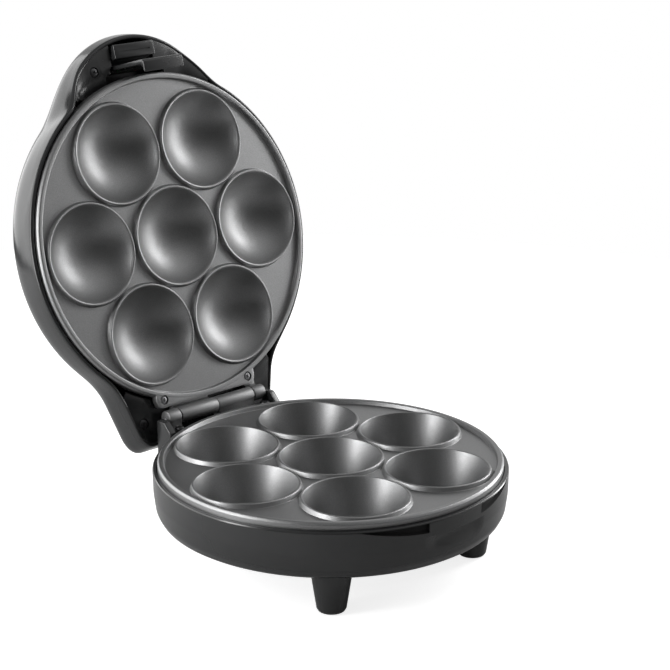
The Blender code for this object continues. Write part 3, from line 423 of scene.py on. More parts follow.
def prism(bm, outline, low, high, axis="Z", round_low=0.4, round_high=0.4, steps=3):
    """An extruded outline whose end edges are rounded. axis Z: outline is (x, y). axis X: outline is (y, z)."""
    layers = []
    for end, r, s in ((low, round_low, 1.0), (high, round_high, -1.0)):
        part = []
        if r > 0:
            for k in range(steps + 1):
                a = 0.5 * math.pi * k / steps
                part.append((r * (1 - math.sin(a)), end + s * r * (1 - math.cos(a))))
        else:
            part.append((0.0, end))
        layers.append(part)
    sequence = layers[0] + layers[1][::-1]
    rings = []
    for d, h in sequence:
        pts = inset(outline, d) if d > 1e-9 else outline
        rings.append([bm.verts.new((p[0], p[1], h) if axis == "Z" else (h, p[0], p[1])) for p in pts])
    n = len(outline)
    for a, b in zip(rings, rings[1:]):
        for i in range(n):
            j = (i + 1) % n
            bm.faces.new((a[i], a[j], b[j], b[i]))
    bm.faces.new(rings[0])
    bm.faces.new(rings[-1])


def block(bm, x0, x1, y0, y1, z0, z1, corner=0.6, edge=0.4):
    prism(bm, fillet([(x0, y0, corner), (x1, y0, corner), (x1, y1, corner), (x0, y1, corner)], 3, True), z0, z1, "Z", edge, edge)


def rod_x(bm, radius, x0, x1, y, z, segs=48, edge=0.3):
    prism(bm, [(y + radius * math.cos(2 * math.pi * i / segs), z + radius * math.sin(2 * math.pi * i / segs)) for i in range(segs)],
          x0, x1, "X", edge, edge)


def arc(cy, cz, r, a0, a1, n):
    return [(cy + r * math.cos(math.radians(a0 + (a1 - a0) * i / n)),
             cz + r * math.sin(math.radians(a0 + (a1 - a0) * i / n))) for i in range(n + 1)]


def to_mesh(name, bm, body):
    bmesh.ops.remove_doubles(bm, verts=bm.verts, dist=1e-5)
    bmesh.ops.recalc_face_normals(bm, faces=bm.faces)
    mesh = bpy.data.meshes.new(name)
    bm.to_mesh(mesh)
    bm.free()
    mesh.transform(PLACE[body])
    return mesh


def piece(name, bm, body, slot, *nodes, angle=35.0, cuts=(), joins=()):
    """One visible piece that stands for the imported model's nodes and rides on a body."""
    ob = bpy.data.objects.new(name, to_mesh(name, bm, body))
    scene.collection.objects.link(ob)
    tools = []
    for operation, group in (("UNION", joins), ("DIFFERENCE", cuts)):
        for k, tool_bm in enumerate(group):
            tool = bpy.data.objects.new("%s_tool_%s_%d" % (name, operation.lower(), k), to_mesh(name + "_tool", tool_bm, body))
            scene.collection.objects.link(tool)
            mod = ob.modifiers.new("%s_%d" % (operation.lower(), k), "BOOLEAN")
            mod.operation = operation
            mod.solver = "EXACT"
            mod.object = tool
            tools.append(tool)
    if tools:
        bpy.context.view_layer.update()
        mesh = bpy.data.meshes.new_from_object(ob.evaluated_get(bpy.context.evaluated_depsgraph_get()))
        ob.modifiers.clear()
        ob.data = mesh
        for tool in tools:
            bpy.data.objects.remove(tool, do_unlink=True)
    ob.data.materials.clear()
    ob.data.materials.append(M[slot])
    ob.data.shade_smooth()
    ob.data.set_sharp_from_angle(angle=math.radians(angle))
    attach(ob, body)
    if nodes:
        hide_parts(*nodes)
    return ob


# ================================================================ lower plate
def well_inside(mouth):
    """The inside of a cupcake well from the flat of the plate over the bead to the middle of the bottom."""
    prof = [(35.9, -RIM_H), (35.3, -RIM_H), (34.75, -RIM_H, 0.9), (33.75, -0.35, 0.7), (33.2, 0.0, 0.55), (32.35, -0.15, 0.6),
            (25.75, -24.0, 4.2), (22.6, -27.0, 5.0), (0, -27.0)]
    return fillet(prof, 5)


LOWER_EDGE = fillet([(104.2, -3.0), (104.7, -3.0), (105.3, -3.0, 0.7), (106.15, -0.35, 0.7), (108.9, -0.2, 1.1), (PLATE_R, -1.8, 0.8),
                     (PLATE_R, -9.0, 0.4), (107.8, -9.0, 0.3), (107.0, -6.4)], 5)
bm = bmesh.new()
cup_plate(bm, LOWER_EDGE, -RIM_H, -6.4, well_inside(0), [(34.6, -6.4), (28.5, -26.7), (24.8, -29.8), (0, -29.8)])
KY, KZ = HINGE_Y + KNUCKLE_OFF[0], HINGE_Z + KNUCKLE_OFF[1]
LOWER_EAR = (fillet([(102.0, -6.9), (116.0, -6.9, 2.5), (119.6, -4.2, 2.0), (120.74, -1.08)], 3)[:-1]
             + arc(KY, KZ, KNUCKLE_R, -50, 205, 36) + [(112.4, -3.4), (102.0, -3.4)])
for s in (-1, 1):
    if s > 0:
        prism(bm, fillet([(30.0, 103.4), (36.0, 101.7), (42.2, 99.2), (42.2, 112.0, 2.5), (30.0, 112.0)], 4, True), -6.7, -2.6, "Z", 0.3, 0.5)
    lathe(bm, fillet([(0, -5.0), (4.6, -5.0), (4.4, -14.0, 0.3), (1.7, -14.0, 0.2), (1.7, -7.2), (0, -7.2)], 2), 24, POSTS[0 if s > 0 else 1])
    lathe(bm, fillet([(0, -5.0), (4.6, -5.0), (4.4, -14.0, 0.3), (1.7, -14.0, 0.2), (1.7, -7.2), (0, -7.2)], 2), 24, POSTS[3 if s > 0 else 2])
piece("lower_plate_fine", bm, "base", "nonstick", "lower_plate", angle=40)
bm = bmesh.new()
prism(bm, LOWER_EAR, KNUCKLES[0], KNUCKLES[1] - 0.4, "X", 0.5, 0.5)
prism(bm, LOWER_EAR, KNUCKLES[2] + 0.2, KNUCKLES[3] - 0.2, "X", 0.4, 0.4)
# the lower knuckles take the darker copy of the coat: painted shade
piece("lower_ears_fine", bm, "base", "nonstick", angle=40).data.materials[0] = M["nonstick_barrel"]


# ================================================================ upper plate, drawn shut
DISH_DEPTH = 17.0
SPHERE = (32.4 ** 2 + DISH_DEPTH ** 2) / (2 * DISH_DEPTH)


def dish_z(r, offset=0.0):
    return math.sqrt((SPHERE + offset) ** 2 - r * r) - (SPHERE - DISH_DEPTH)


dish = fillet([(35.9, UZ + RIM_H), (35.3, UZ + RIM_H), (34.75, UZ + RIM_H, 0.9), (33.75, UZ + 0.35, 0.7), (33.2, UZ, 0.55),
               (32.45, UZ + 0.2, 0.5), (31.6, UZ + dish_z(31.6))], 5)
dish += [(31.6 * math.cos(math.radians(90 * k / 18)), UZ + dish_z(31.6 * math.cos(math.radians(90 * k / 18)))) for k in range(1, 18)]
dish += [(0.0, UZ + DISH_DEPTH)]
back = [(33.4, UZ + RIM_H + 2.4)] + [(33.4 * math.cos(math.radians(18 * k)), UZ + dish_z(33.4 * math.cos(math.radians(18 * k)), 2.0))
                                     for k in range(1, 5)] + [(0, UZ + DISH_DEPTH + 2.0)]
UPPER_EDGE = fillet([(104.2, UZ + 3.0), (104.7, UZ + 3.0), (105.3, UZ + 3.0, 0.7), (106.15, UZ + 0.35, 0.7), (108.9, UZ + 0.2, 1.1),
                     (PLATE_R, UZ + 1.8, 0.8), (PLATE_R, UZ + 9.0, 0.4), (107.8, UZ + 9.0, 0.3), (107.0, UZ + RIM_H + 2.4)], 5)
SCREW_X, SCREW_Y = 36.2, 105.1


def ear_wells():
    b = bmesh.new()
    for s in (-1, 1):
        lathe(b, [(0, -2.0), (3.3, -2.0), (3.3, 2.5), (3.1, 3.1), (0, 3.1)], 48, (s * SCREW_X, SCREW_Y))
    return b


bm = bmesh.new()
cup_plate(bm, UPPER_EDGE, UZ + RIM_H, UZ + RIM_H + 2.4, dish, back)
piece("upper_plate_fine", bm, "lid", "nonstick", "upper_plate", angle=40, cuts=[ear_wells()])
turn = math.radians(OPEN_DEG)
UKY = HINGE_Y + KNUCKLE_OFF[0] * math.cos(turn) - KNUCKLE_OFF[1] * math.sin(turn)
UKZ = HINGE_Z - LID_LIFT + KNUCKLE_OFF[0] * math.sin(turn) + KNUCKLE_OFF[1] * math.cos(turn)
FLANGE = fillet([(x, math.sqrt(107.5 ** 2 - x * x)) for x in (-42.2, -32.0, -16.0, 0.0, 16.0, 32.0, 42.2)]
                + [(42.2, 105.0, 3.0), (40.6, 110.6, 3.6), (33.0, 110.3, 2.0), (-33.0, 110.3, 2.0), (-40.6, 110.6, 3.6), (-42.2, 105.0, 3.0)],
                5, True)
bm = bmesh.new()
prism(bm, FLANGE, UZ + 0.32, 7.2, "Z", 0.5, 0.3)
piece("upper_flange_fine", bm, "lid", "nonstick", angle=40, cuts=[ear_wells()])
bm = bmesh.new()
UPPER_EAR = ([(107.2, 7.0), (107.2, 3.7), (111.2, 3.7)] + arc(UKY, UKZ, KNUCKLE_R, 146, 432, 40) + [(119.0, 7.0)])
prism(bm, UPPER_EAR, KNUCKLES[1] + 0.4, KNUCKLES[2] - 0.2, "X", 0.4, 0.4)
prism(bm, UPPER_EAR, KNUCKLES[3] + 0.6, KNUCKLES[4], "X", 0.4, 0.5)
# the upper knuckles take the darker copy of the coat: painted shade
piece("upper_ears_fine", bm, "lid", "nonstick", angle=40).data.materials[0] = M["nonstick_barrel"]


# ================================================================ lid outline
def smooth_max(a, b, k):
    h = max(k - abs(a - b), 0.0) / k
    return max(a, b) + h * h * k / 4


def smooth_min(a, b, k):
    return -smooth_max(-a, -b, k)


HANDLE_C, TONGUE_TAPER = 74.9, 0.297


def lid_radius(phi, disc, lobe, lobe_k, width, length):
    c, s = math.cos(phi), math.sin(phi)
    r = disc
    d = lobe * lobe - (HANDLE_C * s) ** 2
    if c > 0 and d > 0:
        r = smooth_max(r, HANDLE_C * c + math.sqrt(d), lobe_k)
    if c < -0.05:
        side = width / (abs(s) + TONGUE_TAPER * -c)
        r = smooth_max(r, smooth_min(side, length / -c, 14.0), 10.0)
    return r


def step(a, b, x):
    t = min(max((x - a) / (b - a), 0.0), 1.0)
    return t * t * (3 - 2 * t)


def lid_edge_z(phi):
    front = math.degrees(abs(math.atan2(math.sin(phi), math.cos(phi))))
    return 5.0 + 9.5 * (1 - step(18.0, 36.0, front)) + 3.0 * step(137.0, 150.0, front)


LID_LEVELS = [
    (0.00, 113.4, 62.7, 5.0, 94.7, 134.5),
    (0.28, 113.9, 63.7, 12.0, 96.2, 136.6),
    (0.68, 113.2, 64.2, 18.0, 96.8, 139.0),
    (0.90, 110.2, 61.0, 20.0, 93.6, 138.0),
    (1.00, 105.0, 55.4, 20.0, 88.0, 133.0),
]
LID_T, SHOULDER_Z, TOP_Z = 2.2, 34.0, 37.5


def even_angles(level, count):
    fine = 2880
    pts = [(math.pi * i / fine, lid_radius(math.pi * i / fine, *level[1:])) for i in range(fine + 1)]
    run = [0.0]
    for (a, r), (b, q) in zip(pts, pts[1:]):
        run.append(run[-1] + math.dist((r * math.sin(a), r * math.cos(a)), (q * math.sin(b), q * math.cos(b))))
    half, k = [], 0
    for i in range(count // 2 + 1):
        want = run[-1] * i / (count // 2)
        while k < fine - 1 and run[k + 1] < want:
            k += 1
        t = (want - run[k]) / (run[k + 1] - run[k])
        half.append(pts[k][0] + t * math.pi / fine)
    return half[:-1] + [math.pi] + [2 * math.pi - a for a in half[-2:0:-1]]


def spline(points, per):
    """A centripetal Catmull-Rom curve through 2-D points, with per steps for each span."""
    pts = [Vector(p) for p in points]
    pts = [pts[0] * 2 - pts[1]] + pts + [pts[-1] * 2 - pts[-2]]
    out = []
    for i in range(1, len(pts) - 2):
        p0, p1, p2, p3 = pts[i - 1:i + 3]
        t0 = 0.0
        t1 = t0 + math.sqrt((p1 - p0).length)
        t2 = t1 + math.sqrt((p2 - p1).length)
        t3 = t2 + math.sqrt((p3 - p2).length)
        n = per[i - 1]
        for k in range(n):
            t = t1 + (t2 - t1) * k / n
            a1 = p0 * ((t1 - t) / (t1 - t0)) + p1 * ((t - t0) / (t1 - t0))
            a2 = p1 * ((t2 - t) / (t2 - t1)) + p2 * ((t - t1) / (t2 - t1))
            a3 = p2 * ((t3 - t) / (t3 - t2)) + p3 * ((t - t2) / (t3 - t2))
            b1 = a1 * ((t2 - t) / (t2 - t0)) + a2 * ((t - t0) / (t2 - t0))
            b2 = a2 * ((t3 - t) / (t3 - t1)) + a3 * ((t - t1) / (t3 - t1))
            out.append(b1 * ((t2 - t) / (t2 - t1)) + b2 * ((t - t1) / (t2 - t1)))
    out.append(pts[-2])
    return out


TRIM = 0.16              # keeps the true curve inside the faceted outline's box
LID_N = 320
angles = even_angles(LID_LEVELS[0], LID_N)
bm = bmesh.new()
columns = []
for phi in angles:
    z0 = lid_edge_z(phi)
    pts = []
    for share, *level in LID_LEVELS:
        pts.append((lid_radius(phi, *level) - TRIM, z0 + (SHOULDER_Z - 0.1 - z0) * share))
    r4 = pts[-1][0]
    pts.append((r4 * 0.80, SHOULDER_Z - 0.1 + (TOP_Z - SHOULDER_Z) * 0.66))
    pts.append((r4 * 0.40, TOP_Z - 0.40))
    skin = spline(pts, (8, 6, 6, 6, 6, 4))
    r0 = pts[0][0]
    lip = [(r0 - LID_T, z0 + 3.2), (r0 - LID_T - 0.5, z0 + 1.5), (r0 - LID_T - 0.45, z0 + 0.5), (r0 - LID_T - 0.1, z0 + 0.08),
           (r0 - 1.25, z0), (r0 - 0.80, z0 + 0.08), (r0 - 0.38, z0 + 0.34), (r0 - 0.10, z0 + 0.76)]
    start = [p for p in skin if p.y > z0 + 1.2]
    columns.append([(r, z) for r, z in lip] + [(p.x, p.y) for p in start])
depth = min(len(c) for c in columns)
grid = []
for phi, column in zip(angles, columns):
    # the same number of points in each column: spare ones near the lip are dropped
    spare = len(column) - depth
    column = column[:8] + column[8 + spare:]
    inner = []
    z0 = lid_edge_z(phi)
    for share, *level in LID_LEVELS[1:]:
        inner.append((lid_radius(phi, *level) - TRIM - LID_T, z0 + (SHOULDER_Z - LID_T - z0) * share))
    r4 = inner[-1][0]
    inner.append((r4 * 0.80, SHOULDER_Z - LID_T + (TOP_Z - SHOULDER_Z) * 0.66))
    column = inner[::-1] + column
    grid.append([bm.verts.new((r * math.sin(phi), -r * math.cos(phi), z)) for r, z in column])
tip_in, tip_out = bm.verts.new((0, 0, TOP_Z - LID_T)), bm.verts.new((0, 0, TOP_Z - 0.1))
for i in range(LID_N):
    a, b = grid[i], grid[(i + 1) % LID_N]
    for k in range(len(a) - 1):
        bm.faces.new((a[k], b[k], b[k + 1], a[k + 1]))
    bm.faces.new((tip_in, b[0], a[0]))
    bm.faces.new((a[-1], b[-1], tip_out))
holes = bmesh.new()
for s in (-1, 1):
    lathe(holes, [(0, 28), (4.3, 28), (4.3, 42), (0, 42)], 48, (s * LENS_X, LENS_Y))
piece("lid_shell_fine", bm, "lid", "shell_black", "lid_housing", angle=50, cuts=[holes])
# posts inside the lid that take the screws
bm = bmesh.new()
for x, y, z, top in ([(s * 36.5, 105.0, 7.9, 34.6) for s in (-1, 1)] + [(*p, 17.6, 33.0) for p in HANDLE_SCREWS.values()]
                     + [(*p, 11.6, 33.0) for p in TONGUE_SCREWS.values()]):
    lathe(bm, fillet([(0, z), (4.2, z, 0.3), (4.4, top), (0, top)], 2), 32, (x, y))
piece("lid_posts_fine", bm, "lid", "shell_black")


# ================================================================ panels under the handle and the tongue
coarse = even_angles(LID_LEVELS[0], 72)


def panel_outline(half, centre, gap, inner_r, n):
    middle = 0 if centre == 0 else 36
    low, high = coarse[(middle - half) % 72], coarse[(middle + half) % 72]
    if centre == 0:
        low -= 2 * math.pi
    out, inn = [], []
    for i in range(n + 1):
        phi = low + (high - low) * i / n
        r = lid_radius(phi, *LID_LEVELS[0][1:]) - gap
        out.append((r * math.sin(phi), -r * math.cos(phi)))
        inn.append((inner_r * math.sin(phi), -inner_r * math.cos(phi)))
    return out + inn[::-1]


def split_outline(outline, side, x_cut):
    """The part of an outline beyond a straight cut, side -1 or 1."""
    keep, n = [], len(outline)
    for i in range(n):
        p, q = outline[i], outline[(i + 1) % n]
        inside_p, inside_q = side * p[0] >= x_cut, side * q[0] >= x_cut
        if inside_p:
            keep.append(p)
        if inside_p != inside_q:
            t = (side * x_cut - p[0]) / (q[0] - p[0])
            keep.append((side * x_cut, p[1] + t * (q[1] - p[1])))
    return keep


def screw_well(points, r, z0, z1):
    b = bmesh.new()
    for p in points:
        lathe(b, [(0, z0), (r + 0.25, z0), (r, z0 + 1.2), (r, z1), (0, z1)], 40, p)
    return b


bm = bmesh.new()
# the handle's panel follows the shell's lower edge; its inner edge is turned up in a soft curve
rows = []
for i in range(161):
    phi = math.radians(-29.0 + 58.0 * i / 160)
    z, r = lid_edge_z(phi) + 0.28, lid_radius(phi, *LID_LEVELS[0][1:]) - 2.6
    q0 = 111.8 - 3.2 * step(9.6, 11.2, z)
    section = [(q0, z + 2.3), (q0, z + 0.95), (q0 + 0.1, z + 0.5), (q0 + 0.35, z + 0.2), (q0 + 0.8, z), (r - 0.3, z), (r - 0.09, z + 0.09),
               (r, z + 0.35), (r, z + 2.3)]
    rows.append([bm.verts.new((q * math.sin(phi), -q * math.cos(phi), h)) for q, h in section])
for a, b in zip(rows, rows[1:]):
    for k in range(9):
        bm.faces.new((a[k], a[(k + 1) % 9], b[(k + 1) % 9], b[k]))
bm.faces.new(rows[0])
bm.faces.new(rows[-1])
window = bmesh.new()
prism(window, fillet([(-17.6, -140.0), (17.6, -140.0), (17.6, -118.6, 2.0), (24.4, -111.0), (24.4, -100.0), (-24.4, -100.0), (-24.4, -111.0),
                      (-17.6, -118.6, 2.0)], 4, True), 9.0, 19.0, "Z", 0.0, 0.0)
wells = screw_well(HANDLE_SCREWS.values(), 3.5, 12.0, 16.1)
# the handle's panel takes the lighter copy of the black plastic: painted light
piece("handle_panel_fine", bm, "lid", "inner_black", "handle_inner_cover", angle=40, cuts=[wells, window]).data.materials[0] = M["handle_black"]
bm = bmesh.new()
for s in (-1, 1):
    prism(bm, fillet([(-121.6, 16.2), (-113.4, 16.2), (-113.4, 30.4, 2.0), (-121.6, 30.4, 2.0)], 4, True),
          min(s * 18.6, s * 21.4), max(s * 18.6, s * 21.4), "X", 0.3, 0.3)
block(bm, -20.0, 20.0, -121.2, -113.8, 28.7, 30.2, 0.4, 0.3)
# the latch ears take the lighter copy of the black plastic: painted light
piece("latch_ears_fine", bm, "lid", "inner_black", angle=40).data.materials[0] = M["handle_black"]

bm = bmesh.new()
prism(bm, panel_outline(8, 180, 2.6, 111.4, 160), 8.7, 11.0, "Z", 0.45, 0.1)
wells = screw_well(TONGUE_SCREWS.values(), 3.5, 7.0, 10.0)
for s in (-1, 1):
    lathe(wells, [(0, 5), (5.0, 5), (5.0, 14), (0, 14)], 40, (s * 36.5, 105.0))
piece("hinge_panel_fine", bm, "lid", "inner_black", "hinge_inner_cover", angle=40, cuts=[wells])


# ================================================================ base shell
def dense(profile, longest):
    """Splits the long spans of a profile that lie on the outside wall."""
    out = [profile[0]]
    for a, b in zip(profile, profile[1:]):
        n = max(1, int(math.dist(a, b) / longest)) if a[0] > 108.0 and b[0] > 108.0 and a[1] < -5.5 else 1
        out += [(a[0] + (b[0] - a[0]) * k / n, a[1] + (b[1] - a[1]) * k / n) for k in range(1, n + 1)]
    return out


def wall_radius(z):
    for (r0, z0), (r1, z1) in (((113.2, -6.0), (112.9, -20.0)), ((112.9, -20.0), (111.6, -30.5))):
        if z >= z1:
            return r0 + (r1 - r0) * (z - z0) / (z1 - z0)
    return 111.6


bm = bmesh.new()
outer = fillet([(0, -5.0), (111.6, -5.0), (SHELL_R - 0.6, -5.0, 0.6), (SHELL_R, -6.0, 0.8), (112.9, -20.0, 30.0), (111.6, -30.5, 8.0),
                (109.2, -35.0, 4.0), (105.4, -37.3, 1.5), (0, -37.3)], 6)
lathe(bm, dense(outer, 1.4), 400)
box_outline = fillet([(96.0, -36.8), (115.5, -36.8, 1.5), (118.0, -34.0, 2.0), (118.0, 2.6, 1.2), (117.0, 3.8, 1.0), (110.0, 3.8, 1.5),
                      (103.6, -2.4, 1.5), (103.6, -6.5), (96.0, -6.5)], 4, True)
hinge_box = bmesh.new()
prism(hinge_box, box_outline, -48.0, 48.0, "X", 0.8, 0.8)
cavity = bmesh.new()
lathe(cavity, [(0, 0), (110.7, 0), (110.4, -20.0), (109.1, -30.0), (105.0, -34.8), (0, -34.8)], 224)
inside_box = bmesh.new()
block(inside_box, -45.5, 45.5, 90.0, 115.5, -34.5, -10.2, 1.0, 0.5)
clear = bmesh.new()
block(clear, -43.6, 43.6, 100.0, 125.0, -7.8, 10.0, 0.5, 0.0)
base_shell = piece("base_shell_fine", bm, "base", "shell_black", "base_housing", angle=30, joins=[hinge_box], cuts=[cavity, inside_box, clear])


def rework(ob, body, joins=(), cuts=(), angle=35.0):
    """More Booleans on a piece that is already in place."""
    tools = []
    for operation, group in (("UNION", joins), ("DIFFERENCE", cuts)):
        for k, tool_bm in enumerate(group):
            tool = bpy.data.objects.new("tool", to_mesh("tool", tool_bm, body))
            scene.collection.objects.link(tool)
            mod = ob.modifiers.new("b", "BOOLEAN")
            mod.operation = operation
            mod.solver = "EXACT"
            mod.object = tool
            tools.append(tool)
    bpy.context.view_layer.update()
    mesh = bpy.data.meshes.new_from_object(ob.evaluated_get(bpy.context.evaluated_depsgraph_get()))
    ob.modifiers.clear()
    mats = [m for m in ob.data.materials]
    ob.data = mesh
    ob.data.materials.clear()
    ob.data.materials.append(mats[0])
    for tool in tools:
        bpy.data.objects.remove(tool, do_unlink=True)
    ob.data.shade_smooth()
    ob.data.set_sharp_from_angle(angle=math.radians(angle))


bosses = bmesh.new()
prism(bosses, [(x, -math.sqrt(111.1 ** 2 - x * x)) for x in [-21.0 + 3.0 * i for i in range(15)]] + [(21.0, -106.6), (-21.0, -106.6)],
      -28.4, -9.6, "Z", 0.3, 0.3)
for p in POSTS:
    lathe(bosses, [(0, -35.5), (5.7, -35.5), (5.5, -14.4), (0, -14.4)], 32, p)
for x, y in FEET.values():
    lathe(bosses, [(0, -35.5), (5.0, -35.5), (5.0, -31.6), (0, -31.6)], 24, (x, y))
for k in range(3):
    a = math.radians(90 + 120 * k)
    lathe(bosses, [(0, -35.2), (3.6, -35.2), (3.6, -30.8), (0, -30.8)], 24, (70.6 * math.cos(a), 70.6 * math.sin(a)))
pocket = bmesh.new()
# hollow under the catch: a flat roof, soft sides and a floor that runs out to the wall below
sheet = []
for j in range(31):
    z = -14.4 - 13.6 * j / 30
    row = []
    for i in range(65):
        x = -31.0 + 62.0 * i / 64
        skin = -math.sqrt(wall_radius(z) ** 2 - x * x) - 0.06
        w = (1 - step(15.8, 30.7, abs(x))) * (1 - step(17.4, 27.8, -z))
        row.append((x, skin + (-109.8 - skin) * w, z))
    sheet.append(row)
inside_skin = [[pocket.verts.new(p) for p in row] for row in sheet]
outside_skin = [[pocket.verts.new((p[0], -120.0, p[2])) for p in row] for row in sheet]
for j in range(30):
    for i in range(64):
        pocket.faces.new((inside_skin[j][i], inside_skin[j][i + 1], inside_skin[j + 1][i + 1], inside_skin[j + 1][i]))
        pocket.faces.new((outside_skin[j][i], outside_skin[j + 1][i], outside_skin[j + 1][i + 1], outside_skin[j][i + 1]))
    for i in (0, 64):
        pocket.faces.new((inside_skin[j][i], inside_skin[j + 1][i], outside_skin[j + 1][i], outside_skin[j][i]))
for i in range(64):
    for j in (0, 30):
        pocket.faces.new((inside_skin[j][i], inside_skin[j][i + 1], outside_skin[j][i + 1], outside_skin[j][i]))
scoops = bmesh.new()
for s in (-1, 1):
    rows = []
    n = 40
    for i in range(n + 1):
        a = math.radians(11.3 + (34.0 - 11.3) * i / n)
        depth = max(6.0 * (1 - (i / n) ** 1.6), 0.12)
        rows.append([scoops.verts.new((s * r * math.sin(a), -r * math.cos(a), z))
                     for r, z in ((111.0, -5.9), (116.0, -5.9), (116.0, -6.0 - depth), (112.7, -6.0 - depth), (111.0, -5.9 - depth * 0.85))])
    for p, q in zip(rows, rows[1:]):
        for k in range(5):
            scoops.faces.new((p[k], p[(k + 1) % 5], q[(k + 1) % 5], q[k]))
    scoops.faces.new(rows[0])
    scoops.faces.new(rows[-1])
drills = bmesh.new()
for p in POSTS:
    lathe(drills, [(0, -45), (3.8, -45), (3.8, -24.0), (1.9, -24.0), (1.9, -10), (0, -10)], 32, p)
lathe(drills, [(0, -30), (66.0, -30), (66.0, -35.7), (75.4, -35.7), (75.4, -45), (0, -45)], 128)
gland = bmesh.new()
lathe(gland, [(0, -10), (4.5, -10), (4.5, 10), (0, 10)], 40, matrix=Matrix.Translation((0, 117.0, -28.0)) @ Matrix.Rotation(math.radians(90), 4, "X"))
rework(base_shell, "base", joins=[bosses], cuts=[pocket, scoops, drills, gland], angle=32)
# the base shell's black plastic, with painted shade darkening the scoops' hollows
base_shell.data.materials[0] = painted_scoop_shade(plastic("shell_black_base_painted_shade_fine", SHELL_DARK, SHELL_LIGHT, 0.20, 0.03, 1.52, 0.012, 0.0, 0.04))


# ---- bottom cover with vent slots
bm = bmesh.new()
lathe(bm, fillet([(0, -37.2), (75.0, -37.2, 0.4), (75.0, -36.0, 0.2), (65.6, -36.0), (65.6, -34.2, 0.4), (0, -34.2)], 3), 128)
hollow = bmesh.new()
lathe(hollow, [(0, -33), (63.5, -33), (63.5, -35.9), (0, -35.9)], 128)
slots = bmesh.new()
for row in range(4):
    for s in (-1, 1):
        y = -24 + 16 * row
        prism(slots, fillet([(s * 8, y - 1.5, 1.45), (s * 40, y - 1.5, 1.45), (s * 40, y + 1.5, 1.45), (s * 8, y + 1.5, 1.45)][::s], 6, True),
              -40, -30, "Z", 0.0, 0.0)
for k in range(3):
    a = math.radians(90 + 120 * k)
    lathe(slots, [(0, -40), (1.9, -40), (1.9, -30), (0, -30)], 24, (70.6 * math.cos(a), 70.6 * math.sin(a)))
piece("bottom_cover_fine", bm, "base", "inner_black", "bottom_cover", angle=35, cuts=[hollow, slots])

# ---- feet and pads
for name, (x, y) in FEET.items():
    bm = bmesh.new()
    lathe(bm, fillet([(2.0, -37.6), (13.0, -37.6, 0.5), (9.2, -62.6, 1.0), (8.2, -64.2, 0.4), (7.2, -64.2, 0.2), (7.2, -62.4), (3.7, -62.4),
                      (3.7, -45.0), (2.0, -45.0)], 4, True), 72, (x, y), closed=True)
    piece(name + "_fine", bm, "base", "shell_black", name, angle=35)
    bm = bmesh.new()
    lathe(bm, fillet([(0, -65.0), (5.2, -65.0), (6.7, -64.95, 0.4), (6.7, -62.7), (0, -62.7)], 3), 48, (x, y))
    pad = name.replace("foot", "foot_pad")
    piece(pad + "_fine", bm, "base", "rubber", pad, angle=35)


# ---- screws with a cross recess
def screw_mesh(bm, x, y, z_seat, z_tip, shank, head, head_h, dome=0.35):
    """Head on the side away from the tip, crowned, with a cross recess sunk into it."""
    s = 1.0 if z_tip > z_seat else -1.0
    top = z_seat - s * head_h
    prof = [(0, top), (head * 0.55, top + s * 0.05), (head * 0.85, top + s * 0.22, dome), (head, z_seat - s * 0.25, 0.2), (head * 0.98, z_seat),
            (shank, z_seat), (shank, z_tip - s * 1.5), (0, z_tip)]
    lathe(bm, fillet(prof, 3), 32, (x, y))
    return top, s


def screw_piece(node, body, x, y, z_seat, z_tip, shank, head, head_h, spin=0.3, slot="zinc_screw", cross=1.0):
    bm = bmesh.new()
    top, s = screw_mesh(bm, x, y, z_seat, z_tip, shank, head, head_h)
    tools = []
    for k in range(2):
        b = bmesh.new()
        a = spin + k * math.pi / 2
        ca, sa = math.cos(a), math.sin(a)
        arm, width, deep = head * 0.56 * cross, head * 0.13 * cross, head_h * 0.62 + 0.25
        levels = []
        for z, f in ((top - s * 0.6, 1.1), (top + s * deep, 0.35)):
            pts = [(-arm * f, -width * (0.5 + 0.5 * f)), (arm * f, -width * (0.5 + 0.5 * f)), (arm * f, width * (0.5 + 0.5 * f)),
                   (-arm * f, width * (0.5 + 0.5 * f))]
            levels.append([b.verts.new((x + px * ca - py * sa, y + px * sa + py * ca, z)) for px, py in pts])
        for i in range(4):
            j = (i + 1) % 4
            b.faces.new((levels[0][i], levels[0][j], levels[1][j], levels[1][i]))
        b.faces.new(levels[0])
        b.faces.new(levels[1])
        tools.append(b)
    return piece(node + "_fine", bm, body, slot, node, angle=35, cuts=tools)


for k in range(3):
    a = math.radians(90 + 120 * k)
    screw_piece("bottom_cover_screw_%d" % (k + 1), "base", 70.6 * math.cos(a), 70.6 * math.sin(a), -37.5, -31.8, 1.2, 2.9, 1.4, 0.2 + k)
for k, p in enumerate(POSTS):
    screw_piece("lower_plate_screw_%d" % (k + 1), "base", p[0], p[1], -24.3, -8.0, 1.3, 3.2, 2.0, 0.5 + k)
for side, s in (("left", -1), ("right", 1)):
    screw_piece("lower_hinge_screw_" + side, "base", s * 37.0, 107.6, -2.3, -10.5, 1.3, 3.2, 1.7, 0.35 if s < 0 else 0.9, "black_screw")
    screw_piece("upper_hinge_screw_" + side, "lid", s * SCREW_X, SCREW_Y, 3.0, 16.0, 1.3, 2.45, 1.05, 0.25 if s < 0 else 0.6, "black_screw", 1.45).data.materials[0] = M["dark_screw"]
    screw_piece("handle_cover_screw_" + side, "lid", *HANDLE_SCREWS[side], 15.8, 26.2, 1.2, 3.1, 0.8, 0.5, "black_screw")
    screw_piece("hinge_cover_screw_" + side, "lid", *TONGUE_SCREWS[side], 9.7, 20.0, 1.2, 3.1, 0.7, 0.2, "black_screw")

